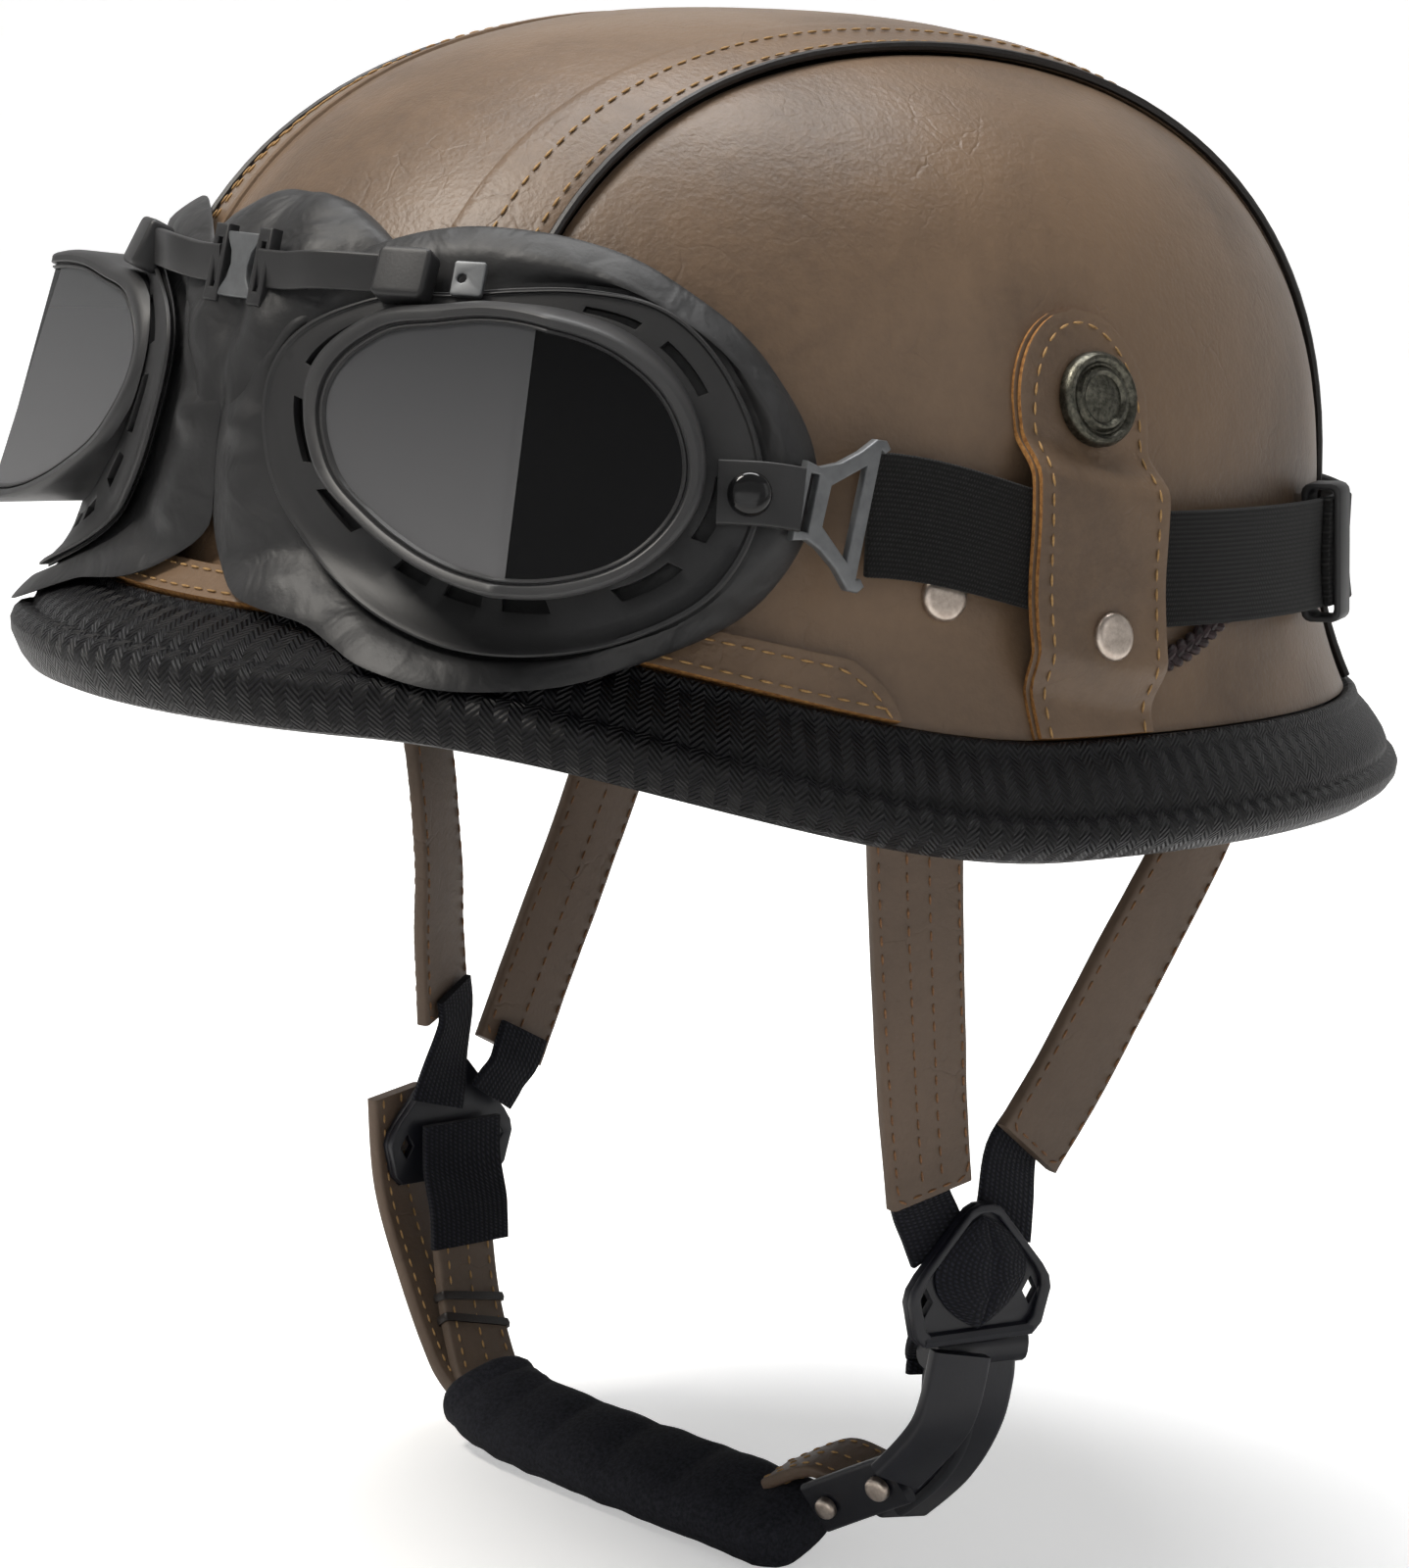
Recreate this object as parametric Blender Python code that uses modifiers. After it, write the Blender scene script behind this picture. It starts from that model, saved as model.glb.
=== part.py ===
"""Half shell motorcycle helmet: a leather covered shell with a woven rim trim,
split lens goggles on an elastic strap, and a whole chin strap with its buckle.

Metres, +Z up. The front looks along -Y and the wearer's left is +X. The origin is the
inside of the crown, where the helmet sits on a head.
"""

import math

import bmesh
import bpy
from mathutils import Matrix, Vector

MM = 0.001

# Shell form, measured on the leather's outer face. The waist is its widest level line.
HALF_WIDTH = 103.7 * MM
HALF_LENGTH_FRONT = 130.9 * MM
HALF_LENGTH_BACK = 122.6 * MM
CROWN_HEIGHT = 96.8 * MM
CROWN_POWER = 2.4

# Below the waist the shell flares out to its rim, most of all over the brow.
FLARE_FRONT = 23.5 * MM
FLARE_SIDE = 13.0 * MM
FLARE_BACK = 20.0 * MM
DROP_FRONT = 24.5 * MM
DROP_SIDE = 48.3 * MM
DROP_BACK = 49.0 * MM
BROW_LEVEL = math.radians(24)
BROW_FALL = math.radians(58)

# Layers
LEATHER = 1.3 * MM
LEATHER_OFF_SHELL = 1.3 * MM
SHELL_WALL = 4.0 * MM
REST_GAP = 0.35 * MM
SHELL_OUT = -(LEATHER + LEATHER_OFF_SHELL)
SHELL_IN = SHELL_OUT - SHELL_WALL
HEAD_SEAT = CROWN_HEIGHT + SHELL_IN

# Crown seams: the middle panel is narrowest over the crown.
SEAM_HALF_WIDTH = 48.1 * MM
SEAM_SPREAD = 0.062
SEAM_BOW = 0.76
SEAM_SLIT = 0.8 * MM
SEAM_STRIP = 17.0 * MM
SEAM_STRIP_RAISE = 0.8 * MM
PIPING_RADIUS = 0.9 * MM

# Rim trim
TRIM_LEG = 16.0 * MM
TRIM_OUT = 3.3 * MM
TRIM_TOP_OUT = 1.6 * MM
TRIM_BEAD = 5.0 * MM
TRIM_WALL = 2.2 * MM
TRIM_GAP = 0.75 * MM
TRIM_TO_LEATHER = 0.5 * MM

# Brow band
BROW_REACH = math.radians(66)
BROW_HEIGHT = 11.0 * MM
BROW_LEATHER = 1.0 * MM
BROW_LIFT = 1.6 * MM
BROW_CORNER = 9.0 * MM

# Side tabs, with a button and a rivet
TAB_TOP = 45.0 * MM
TAB_HALF_WIDTH = 16.2 * MM
TAB_FOOT_HALF_WIDTH = 14.7 * MM
TAB_Y = -13.0 * MM
TAB_LEATHER = 1.5 * MM
TAB_LEVEL_ABOVE = 2.0 * MM
TAB_LEVEL_BELOW = 7.0 * MM
BUTTON_RADIUS = 8.9 * MM
BUTTON_HEIGHT = 3.0 * MM
BUTTON_Y = -11.1 * MM
BUTTON_Z = 28.4 * MM
RIVET_RADIUS = 4.6 * MM
RIVET_HEIGHT = 1.7 * MM
TAB_RIVET_Y = -11.3 * MM
TAB_RIVET_Z = -15.4 * MM
FRONT_RIVET_Y = -43.3 * MM
FRONT_RIVET_Z = -7.0 * MM

# Goggle strap on the shell
ELASTIC_WIDTH = 22.0 * MM
ELASTIC_THICK = 1.8 * MM
ELASTIC_FRONT = math.radians(-27)
ELASTIC_FRONT_Z = 7.8 * MM
ELASTIC_SIDE_Z = -3.2 * MM
ELASTIC_BACK_Z = -6.0 * MM
ELASTIC_OFF_LEATHER = 2.9 * MM
ELASTIC_OFF_BACK = 4.6 * MM
SLIDER_TURN = math.radians(31)
SLIDER_LENGTH = 8.0 * MM
SLIDER_WALL = 1.6 * MM

# Braided cord between a tab and the elastic
CORD_RADIUS = 1.7 * MM
CORD_START_Y = 5.0 * MM
CORD_END_Y = 44.0 * MM
CORD_START_Z = -20.5 * MM
CORD_END_Z = -8.0 * MM

# Goggles: each eyecup follows an upright cone about its own axis and leans back at the top.
CUP_AXIS_X = -7.0 * MM
CUP_AXIS_Y = 6.0 * MM
CUP_RADIUS = 135.0 * MM
CUP_LEAN = 0.27
CUP_LEVEL = 16.0 * MM
CUP_CENTRE_ARC = 66.0 * MM
CUP_CENTRE_Z = 14.0 * MM
CUP_OFF_SHELL = 6.4 * MM
CUP_BLEND = 5.0 * MM
FLANGE_THICK = 1.8 * MM
FLANGE_TO_PAD = 1.8 * MM
RIM_LIP = 1.5 * MM
LENS_THICK = 2.0 * MM
PANE_RIDGE_X = 76.0 * MM
PANE_RIDGE_Y = -127.0 * MM
PANE_RIDGE_LEAN = 0.06
FRONT_PANE_TURN = math.radians(11)
SIDE_PANE_TURN = math.radians(53)
PAD_OFF_SHELL = 4.1 * MM
PAD_ROLL = 8.0 * MM
PAD_APART = 1.2 * MM

# One row for each eighth of a half turn round an eyecup, from the temple side over the top.
# Each column is that outline's reach from the eyecup's centre, in millimetres.
EYECUP_COLUMNS = ("flange", "rim", "lens", "pad")
EYECUP_ROWS = (
    (46.9, 37.2, 33.9, 56.7),
    (44.6, 37.2, 33.9, 51.3),
    (41.2, 34.7, 31.4, 44.9),
    (34.9, 31.6, 28.4, 41.7),
    (31.6, 30.2, 26.9, 41.2),
    (32.6, 31.0, 27.4, 44.6),
    (39.8, 36.4, 31.6, 50.1),
    (47.0, 38.8, 33.6, 53.5),
    (43.2, 32.0, 27.0, 56.0),
    (37.4, 23.4, 19.6, 53.0),
    (32.4, 19.2, 16.0, 40.0),
    (30.2, 17.9, 14.9, 37.0),
    (31.0, 18.6, 15.5, 37.0),
    (33.7, 21.5, 17.8, 39.0),
    (38.4, 26.8, 22.9, 43.2),
    (44.6, 32.8, 29.4, 52.1),
)
# The flange's vent slots, as places among its faces round the eyecup.
VENT_PLACES = (2, 4, 11, 13, 15, 18, 20, 22, 25, 27)

# Goggle bridge
BRIDGE_Z = 46.0 * MM
BRIDGE_Y = -130.0 * MM
BRIDGE_STRAP_HEIGHT = 7.0 * MM
CLIP_WIDTH = 10.0 * MM
CLIP_HEIGHT = 12.0 * MM
CLIP_WAIST = 0.62
CLIP_THICK = 1.6 * MM

# Side hardware of the goggles
PIVOT_ARC = 110.5 * MM
PIVOT_Z = 13.0 * MM
PIVOT_RADIUS = 3.6 * MM
LINK_WIDTH = 9.5 * MM
LINK_THICK = 1.6 * MM
HOOK_FRONT_HEIGHT = 14.0 * MM
HOOK_BACK_HEIGHT = 26.0 * MM
HOOK_BAR = 2.6 * MM
HOOK_THICK = 1.8 * MM

# Head straps
STRAP_WIDTH = 19.8 * MM
STRAP_THICK = 3.0 * MM
WEB_WIDTH = 14.0 * MM
WEB_SHIFT = 7.5
WEB_THICK = 1.6 * MM
CHIN_WEB_WIDTH = 21.0 * MM
ADJUSTER_WIDTH = 34.0 * MM
ADJUSTER_HEIGHT = 27.0 * MM
ADJUSTER_THICK = 3.0 * MM
CHIN_PAD_WIDTH = 22.0 * MM
CHIN_PAD_THICK = 12.0 * MM
CHIN_PAD_ROLL = math.radians(25)
BUCKLE_THICK = 6.0 * MM

# How finely the curved pieces are divided
SHELL_AROUND = 40
SHELL_DOME_ROWS = 5
SHELL_FLARE_ROWS = (0.22, 0.45, 0.68, 0.84, 1.0)
PANEL_HALF_ROWS = 7
PANEL_SIDE_ROWS = 5
FLARE_ROWS = 4
CUP_AROUND = 28
ROUND_SIDES = 10

SIDES = (("left", 1), ("right", -1))


def clear_scene():
    for item in list(bpy.data.objects):
        bpy.data.objects.remove(item, do_unlink=True)


def make_collection(name):
    group = bpy.data.collections.new(name)
    bpy.context.scene.collection.children.link(group)
    return group


def make_material(name, colour, roughness, metallic=0.0):
    material = bpy.data.materials.new(name)
    material.use_nodes = True
    shader = material.node_tree.nodes["Principled BSDF"]
    shader.inputs["Base Color"].default_value = (*colour, 1.0)
    shader.inputs["Roughness"].default_value = roughness
    shader.inputs["Metallic"].default_value = metallic
    return material


clear_scene()
HELMET = make_collection("half_shell_helmet")
MATERIALS = {
    "leather": make_material("brown_leather", (0.20, 0.13, 0.075), 0.5),
    "shell": make_material("moulded_shell", (0.02, 0.02, 0.02), 0.5),
    "trim": make_material("woven_trim", (0.012, 0.012, 0.014), 0.55),
    "piping": make_material("black_piping", (0.012, 0.011, 0.011), 0.5),
    "steel": make_material("brushed_nickel", (0.55, 0.51, 0.47), 0.35, 1.0),
    "button": make_material("antique_metal", (0.16, 0.16, 0.15), 0.35, 1.0),
    "elastic": make_material("black_elastic", (0.014, 0.014, 0.014), 0.85),
    "goggle": make_material("soft_black_plastic", (0.028, 0.028, 0.028), 0.5),
    "cushion": make_material("black_leatherette", (0.022, 0.022, 0.022), 0.45),
    "lens": make_material("smoke_lens", (0.03, 0.03, 0.035), 0.1),
    "grey": make_material("grey_metal", (0.12, 0.12, 0.125), 0.4, 1.0),
    "webbing": make_material("black_webbing", (0.012, 0.012, 0.016), 0.9),
}

# The model is laid out from the waist, and this empty carries it to the head seat.
ROOT = bpy.data.objects.new("helmet_frame", None)
ROOT.location = (0.0, 0.0, -HEAD_SEAT)
HELMET.objects.link(ROOT)


def place_mesh(name, mesh, material, smooth=True):
    mesh.materials.append(MATERIALS[material])
    if smooth:
        mesh.shade_smooth()
        mesh.set_sharp_from_angle(angle=math.radians(40))
    item = bpy.data.objects.new(name, mesh)
    item.parent = ROOT
    HELMET.objects.link(item)
    return item


def fill_mesh(name, rows, wrap_across=False, open_faces=()):
    """A mesh through rows of points, with points that fall together merged."""
    work = bmesh.new()
    verts = [[work.verts.new(point) for point in row] for row in rows]
    for i in range(len(rows) - 1):
        upper = verts[i]
        lower = verts[i + 1]
        last = len(upper) if wrap_across else len(upper) - 1
        for j in range(last):
            if (i, j) in open_faces:
                continue
            k = (j + 1) % len(upper)
            work.faces.new((upper[j], upper[k], lower[k], lower[j]))
    bmesh.ops.remove_doubles(work, verts=work.verts, dist=0.01 * MM)
    mesh = bpy.data.meshes.new(name)
    work.normal_update()
    work.to_mesh(mesh)
    work.free()
    return mesh


def add_wall(item, thickness, offset=-1.0):
    wall = item.modifiers.new("wall", "SOLIDIFY")
    wall.thickness = thickness
    wall.offset = offset
    wall.use_even_offset = False
    return item


def sheet_piece(name, rows, material, thickness, away_from=(0.0, 0.0, -20 * MM), wrap=False):
    """An open surface that faces away from a point, with its wall laid inwards."""
    mesh = fill_mesh(name, rows, wrap_across=wrap)
    middle = Vector(away_from)
    facing = sum(face.normal.dot(face.center - middle) * face.area for face in mesh.polygons)
    if facing < 0:
        mesh.flip_normals()
    return add_wall(place_mesh(name, mesh, material), thickness)


def solid_piece(name, sections, material, closed_path=True):
    """A closed body lofted through closed sections."""
    work = bmesh.new()
    rings = [[work.verts.new(point) for point in section] for section in sections]
    count = len(rings)
    for i in range(count if closed_path else count - 1):
        one = rings[i]
        two = rings[(i + 1) % count]
        for j in range(len(one)):
            k = (j + 1) % len(one)
            work.faces.new((one[j], one[k], two[k], two[j]))
    if not closed_path:
        work.faces.new(reversed(rings[0]))
        work.faces.new(rings[-1])
    bmesh.ops.recalc_face_normals(work, faces=work.faces)
    mesh = bpy.data.meshes.new(name)
    work.to_mesh(mesh)
    work.free()
    if signed_volume(mesh) < 0:
        mesh.flip_normals()
    return place_mesh(name, mesh, material)


def signed_volume(mesh):
    mesh.calc_loop_triangles()
    total = 0.0
    for triangle in mesh.loop_triangles:
        one, two, three = (mesh.vertices[index].co for index in triangle.vertices)
        total += one.dot(two.cross(three)) / 6.0
    return total


def tube_piece(name, points, radius, material, resolution=1):
    path = bpy.data.curves.new(name, "CURVE")
    path.dimensions = "3D"
    path.bevel_depth = radius
    path.bevel_resolution = resolution
    path.use_fill_caps = True
    line = path.splines.new("POLY")
    line.points.add(len(points) - 1)
    for knot, point in zip(line.points, points):
        knot.co = (*point, 1.0)
    path.materials.append(MATERIALS[material])
    item = bpy.data.objects.new(name, path)
    item.parent = ROOT
    HELMET.objects.link(item)
    return item


def turned_piece(name, profile, place, axis, material):
    """A profile of (radius, height) pairs turned about an axis that starts at a place."""
    work = bmesh.new()
    previous = None
    for radius, height in reversed(profile):
        vert = work.verts.new((radius, 0.0, height))
        if previous:
            work.edges.new((previous, vert))
        previous = vert
    mesh = bpy.data.meshes.new(name)
    work.to_mesh(mesh)
    work.free()
    item = place_mesh(name, mesh, material, smooth=False)
    item.location = place
    item.rotation_mode = "QUATERNION"
    item.rotation_quaternion = Vector(axis).to_track_quat("Z", "Y")
    screw = item.modifiers.new("turn", "SCREW")
    screw.steps = ROUND_SIDES
    screw.render_steps = ROUND_SIDES
    screw.use_merge_vertices = True
    screw.merge_threshold = 0.00001
    screw.use_smooth_shade = True
    return item


def outline_piece(name, outlines, thickness, frame, material):
    """A flat plate with closed outlines, the first outside and the others as holes."""
    sheet = bpy.data.curves.new(name, "CURVE")
    sheet.dimensions = "2D"
    sheet.fill_mode = "BOTH"
    sheet.extrude = thickness / 2
    for outline in outlines:
        line = sheet.splines.new("POLY")
        line.points.add(len(outline) - 1)
        for knot, (across, along) in zip(line.points, outline):
            knot.co = (across, along, 0.0, 1.0)
        line.use_cyclic_u = True
    sheet.materials.append(MATERIALS[material])
    item = bpy.data.objects.new(name, sheet)
    item.parent = ROOT
    item.matrix_local = frame
    HELMET.objects.link(item)
    return item


def frame_at(place, across, normal):
    """A placement whose X runs across and whose Z is the normal."""
    z_axis = Vector(normal).normalized()
    x_axis = Vector(across)
    x_axis = (x_axis - z_axis * x_axis.dot(z_axis)).normalized()
    y_axis = z_axis.cross(x_axis)
    turn = Matrix((x_axis, y_axis, z_axis)).transposed().to_4x4()
    return Matrix.Translation(place) @ turn


def blend(start, end, share):
    return start + (end - start) * share


def ease(share):
    share = min(1.0, max(0.0, share))
    return share * share * (3.0 - 2.0 * share)


def half_length(sine):
    return HALF_LENGTH_FRONT if sine < 0 else HALF_LENGTH_BACK


def from_front(around):
    """The angle between a direction and straight ahead, from 0 to a half turn."""
    turn = (around + math.pi / 2) % (2 * math.pi)
    return min(turn, 2 * math.pi - turn)


def rim_drop(around):
    turn = from_front(around)
    level = blend(DROP_FRONT, DROP_SIDE, ease((turn - BROW_LEVEL) / BROW_FALL))
    return blend(level, DROP_BACK, ease((turn - math.pi / 2) / (math.pi / 2)))


def rim_flare(around):
    end = FLARE_FRONT if math.sin(around) < 0 else FLARE_BACK
    return blend(FLARE_SIDE, end, math.sin(around) ** 2)


def flare_length(around):
    """About how long the flare is along its slope near the rim, for one whole drop."""
    return math.hypot(rim_drop(around), 1.7 * rim_flare(around))


def dome_point(share_x, share_y, proud=0.0):
    """A point of the crown from its place in plan, as shares of the half width and length."""
    reach = min(1.0, math.hypot(share_x, share_y))
    height = (1.0 - reach**CROWN_POWER) ** (1.0 / CROWN_POWER)
    return Vector(
        (
            (HALF_WIDTH + proud) * share_x,
            (half_length(share_y) + proud) * share_y,
            (CROWN_HEIGHT + proud) * height,
        )
    )


def flare_point(around, down, proud=0.0):
    """A point below the waist; down runs from 0 at the waist to 1 at the shell's edge."""
    outward = Vector((math.cos(around), math.sin(around), 0.0))
    drop = rim_drop(around)
    flare = rim_flare(around)
    inner = min(down, 1.0)
    waist = Vector((HALF_WIDTH * outward.x, half_length(outward.y) * outward.y, 0.0))
    slope = Vector((2.0 * flare * inner, -drop))
    point = waist + outward * (flare * inner**2) - Vector((0, 0, drop * inner))
    if down > 1.0:
        point += (outward * slope.x + Vector((0, 0, slope.y))) * (down - 1.0)
    slope.normalize()
    normal = outward * -slope.y + Vector((0.0, 0.0, slope.x))
    return point + normal * proud


def trim_top(around):
    return 1.0 - TRIM_LEG / flare_length(around)


def leather_foot(around):
    return trim_top(around) - TRIM_TO_LEATHER / flare_length(around)


def skin_point(around, z, proud=0.0):
    """The point of the outside in a direction at a height."""
    if z < 0:
        return flare_point(around, -z / rim_drop(around), proud)
    reach = (1.0 - min(1.0, z / CROWN_HEIGHT) ** CROWN_POWER) ** (1.0 / CROWN_POWER)
    return dome_point(reach * math.cos(around), reach * math.sin(around), proud)


def side_turn(y, z):
    """The direction in which the left side has a given length at a height."""
    around = math.asin(max(-1.0, min(1.0, y / half_length(y))))
    for _ in range(8):
        around += (y - skin_point(around, z).y) / half_length(y)
    return around


def side_point(side, y, z, proud=0.0):
    """The point of one side at a given length and height."""
    point = skin_point(side_turn(y, z), z, proud)
    return Vector((side * point.x, point.y, point.z))


def side_normal(side, y, z):
    step = 1.0 * MM
    along = side_point(side, y + step, z) - side_point(side, y - step, z)
    up = side_point(side, y, z + step) - side_point(side, y, z - step)
    normal = along.cross(up).normalized()
    return normal if normal.x * side > 0 else -normal


def seam_half_width(y):
    return SEAM_HALF_WIDTH + SEAM_SPREAD * y + SEAM_BOW * y * y


def waist_crossing(share, end, slit):
    """Where a line at a share of the seam's half width meets the waist: its x and y."""
    length = HALF_LENGTH_FRONT if end < 0 else HALF_LENGTH_BACK
    y = end * length * 0.9
    for _ in range(12):
        x = share * (seam_half_width(y) + slit)
        y = end * length * math.sqrt(1.0 - (x / HALF_WIDTH) ** 2)
    return x, y


def seam_line(share, slit, proud, front_gap=0.0):
    """Points of one lengthwise line of the crown, from the front trim to the back trim."""
    points = []
    for end in (-1, 1):
        x, y = waist_crossing(share, end, slit)
        around = math.atan2(y / half_length(y), x / HALF_WIDTH)
        foot = leather_foot(around)
        if end < 0:
            foot -= front_gap / flare_length(around)
        steps = range(1, FLARE_ROWS + 1)
        flare = [flare_point(around, foot * step / FLARE_ROWS, proud) for step in steps]
        if end < 0:
            points = flare[::-1] + crown_line(share, slit, proud)
        else:
            points += flare
    return points


def crown_line(share, slit, proud):
    front_y = waist_crossing(share, -1, slit)[1]
    back_y = waist_crossing(share, 1, slit)[1]
    points = []
    for step in range(-PANEL_HALF_ROWS, PANEL_HALF_ROWS + 1):
        turn = math.sin(math.radians(90) * step / PANEL_HALF_ROWS)
        y = turn * (back_y if turn > 0 else -front_y)
        x = share * (seam_half_width(y) + slit)
        points.append(dome_point(x / HALF_WIDTH, y / half_length(y), proud))
    return points


def make_hard_shell():
    rows = []
    turns = [2 * math.pi * step / SHELL_AROUND for step in range(SHELL_AROUND)]
    for step in range(SHELL_DOME_ROWS + 1):
        reach = math.sin(math.radians(90) * step / SHELL_DOME_ROWS) ** (2 / CROWN_POWER)
        rows.append([dome_point(reach * math.cos(t), reach * math.sin(t), SHELL_OUT) for t in turns])
    for down in SHELL_FLARE_ROWS:
        rows.append([flare_point(t, down, SHELL_OUT) for t in turns])
    sheet_piece("hard_shell", rows, "shell", SHELL_WALL, wrap=True)


def make_centre_panel():
    strip = 1.0 - SEAM_STRIP / SEAM_HALF_WIDTH
    half = ((1.0, 1), ((1 + strip) / 2, 1), (strip + 0.02, 1), (strip, 0), (strip / 2, 0))
    columns = [(-share, raised) for share, raised in half] + [(0.0, 0)]
    columns += [(share, raised) for share, raised in reversed(half)]
    rows = [seam_line(share, -SEAM_SLIT / 2, raised * SEAM_STRIP_RAISE) for share, raised in columns]
    sheet_piece("centre_panel", rows, "leather", LEATHER)


def make_side_panel(name, side):
    """The panel between a seam and the rim, in rows from the seam outwards and down."""
    seam = crown_line(1.0, SEAM_SLIT / 2, 0.0)
    ends = [waist_crossing(1.0, end, SEAM_SLIT / 2) for end in (-1, 1)]
    first, last = (math.atan2(y / half_length(y), x / HALF_WIDTH) for x, y in ends)
    turns = [blend(first, last, step / (len(seam) - 1)) for step in range(len(seam))]
    rows = []
    for row in range(PANEL_SIDE_ROWS + 1):
        share = math.sin(math.radians(90) * row / PANEL_SIDE_ROWS)
        line = []
        for point, turn in zip(seam, turns):
            share_x = blend(point.x / HALF_WIDTH, math.cos(turn), share)
            share_y = blend(point.y / half_length(point.y), math.sin(turn), share)
            line.append(dome_point(share_x, share_y))
        line[0] = flare_point(first, 0.0)
        line[-1] = flare_point(last, 0.0)
        rows.append(line)
    for row in range(1, FLARE_ROWS + 1):
        rows.append([flare_point(t, leather_foot(t) * row / FLARE_ROWS) for t in turns])
    rows = [[Vector((side * p.x, p.y, p.z)) for p in line] for line in rows]
    sheet_piece(name, rows, "leather", LEATHER)


def make_piping(name, side):
    lift = SEAM_STRIP_RAISE + REST_GAP + PIPING_RADIUS
    points = seam_line(side, 0.0, lift, front_gap=BROW_HEIGHT + 2 * PIPING_RADIUS)
    tube_piece(name, points, PIPING_RADIUS, "piping")


def trim_section(around):
    """The trim's hollow section at one place: over the edge, with a leg on each face."""
    length = flare_length(around)
    clear = SHELL_OUT + TRIM_GAP
    inside = SHELL_IN - TRIM_GAP
    edge = 1.0 + TRIM_GAP / length
    outline = (
        (trim_top(around), clear),
        (trim_top(around), TRIM_TOP_OUT),
        (0.84, TRIM_OUT * 0.85),
        (1.0, TRIM_OUT),
        (1.0 + TRIM_BEAD * 0.8 / length, TRIM_OUT * 0.5),
        (1.0 + TRIM_BEAD / length, (clear + inside) / 2),
        (1.0 + TRIM_BEAD * 0.6 / length, inside - TRIM_WALL * 0.7),
        (0.84, inside - TRIM_WALL),
        (0.84, inside),
        (edge, inside),
        (edge, clear),
        (0.84, clear),
    )
    return [flare_point(around, down, out) for down, out in outline]


def make_rim_trim():
    turns = [2 * math.pi * step / SHELL_AROUND for step in range(SHELL_AROUND)]
    solid_piece("rim_trim", [trim_section(turn) for turn in turns], "trim")


def make_brow_band():
    """A leather strip across the brow, whose ends round down to the trim."""
    steps = 26
    rows = [[], [], []]
    for step in range(steps + 1):
        turn = blend(-BROW_REACH, BROW_REACH, step / steps)
        around = turn - math.pi / 2
        length = flare_length(around)
        to_end = (BROW_REACH - abs(turn)) * HALF_LENGTH_FRONT
        height = BROW_HEIGHT * math.sqrt(min(1.0, to_end / BROW_CORNER + 0.05))
        foot = leather_foot(around)
        for row, share in zip(rows, (0.0, 0.5, 1.0)):
            down = foot - share * height / length
            row.append(flare_point(around, down, BROW_LIFT + BROW_LEATHER))
    sheet_piece("brow_band", rows, "leather", BROW_LEATHER)


def elastic_height(around):
    """How high the strap's middle runs, falling from the hook to the back."""
    if around < 0:
        return blend(ELASTIC_FRONT_Z, ELASTIC_SIDE_Z, ease(1.0 - around / ELASTIC_FRONT))
    return blend(ELASTIC_SIDE_Z, ELASTIC_BACK_Z, around / (math.pi / 2))


def elastic_lift(around):
    """The elastic lies over the front rivet, and over the cord and the piping behind."""
    return blend(ELASTIC_OFF_LEATHER, ELASTIC_OFF_BACK, ease((around + 0.06) / 0.2))


def elastic_rows():
    steps = 18
    columns = []
    for step in range(steps):
        around = blend(ELASTIC_FRONT, math.pi / 2, step / steps)
        columns.append(elastic_column(around))
    back = elastic_column(math.pi / 2)
    mirrored = [[Vector((-p.x, p.y, p.z)) for p in column] for column in reversed(columns)]
    columns = columns + [back] + mirrored
    return [[column[i] for column in columns] for i in range(3)]


def elastic_column(around):
    proud = elastic_lift(around) + ELASTIC_THICK
    middle = elastic_height(around)
    return [skin_point(around, middle + up * ELASTIC_WIDTH, proud) for up in (0.5, 0.0, -0.5)]


def make_goggle_strap():
    sheet_piece("goggle_strap", elastic_rows(), "elastic", ELASTIC_THICK)


def make_strap_slider():
    """A flat frame round the elastic, with the strap through its slot."""
    upper, middle, lower = elastic_column(SLIDER_TURN)
    ahead = elastic_column(SLIDER_TURN + 0.03)[1] - elastic_column(SLIDER_TURN - 0.03)[1]
    up = (upper - lower).normalized()
    normal = ahead.cross(up).normalized()
    normal = normal if normal.x > 0 else -normal
    centre = (upper + lower) / 2 - normal * (ELASTIC_THICK / 2) + normal * 0.2 * MM
    tall = ELASTIC_WIDTH / 2 + 2 * REST_GAP
    deep = ELASTIC_THICK / 2 + 1.4 * MM
    inner = [(-deep, -tall), (deep, -tall), (deep, tall), (-deep, tall)]
    grow = SLIDER_WALL
    outer = [(math.copysign(deep + grow, a), math.copysign(tall + grow, b)) for a, b in inner]
    outline_piece("strap_slider", [outer, inner], SLIDER_LENGTH, frame_at(centre, normal, ahead), "goggle")


def make_side_tab(name, side):
    """A round topped leather tab, stitched at its foot, that holds the elastic down."""
    rows = []
    levels = 13
    foot_z = side_foot(TAB_Y)
    for step in range(levels + 1):
        share = step / levels
        z = blend(TAB_TOP, foot_z, ease(share) * 0.3 + share * 0.7)
        round_share = min(1.0, (TAB_TOP - z) / (TAB_HALF_WIDTH * 1.15))
        width = blend(TAB_HALF_WIDTH, TAB_FOOT_HALF_WIDTH, share)
        width *= math.sqrt(max(0.0, 1.0 - (1.0 - round_share) ** 2))
        row = []
        for across in (-1.0, -0.5, 0.0, 0.5, 1.0):
            y = TAB_Y + across * width
            level = max(z, side_foot(y))
            row.append(side_point(side, y, level, tab_lift(y, z) + TAB_LEATHER))
        rows.append(row)
    sheet_piece(name, rows, "leather", TAB_LEATHER)


def side_foot(y):
    """The height of the side leather's lower edge at a given length."""
    around = math.asin(y / (half_length(y) + FLARE_SIDE * 0.5))
    return -rim_drop(around) * leather_foot(around)


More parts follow.
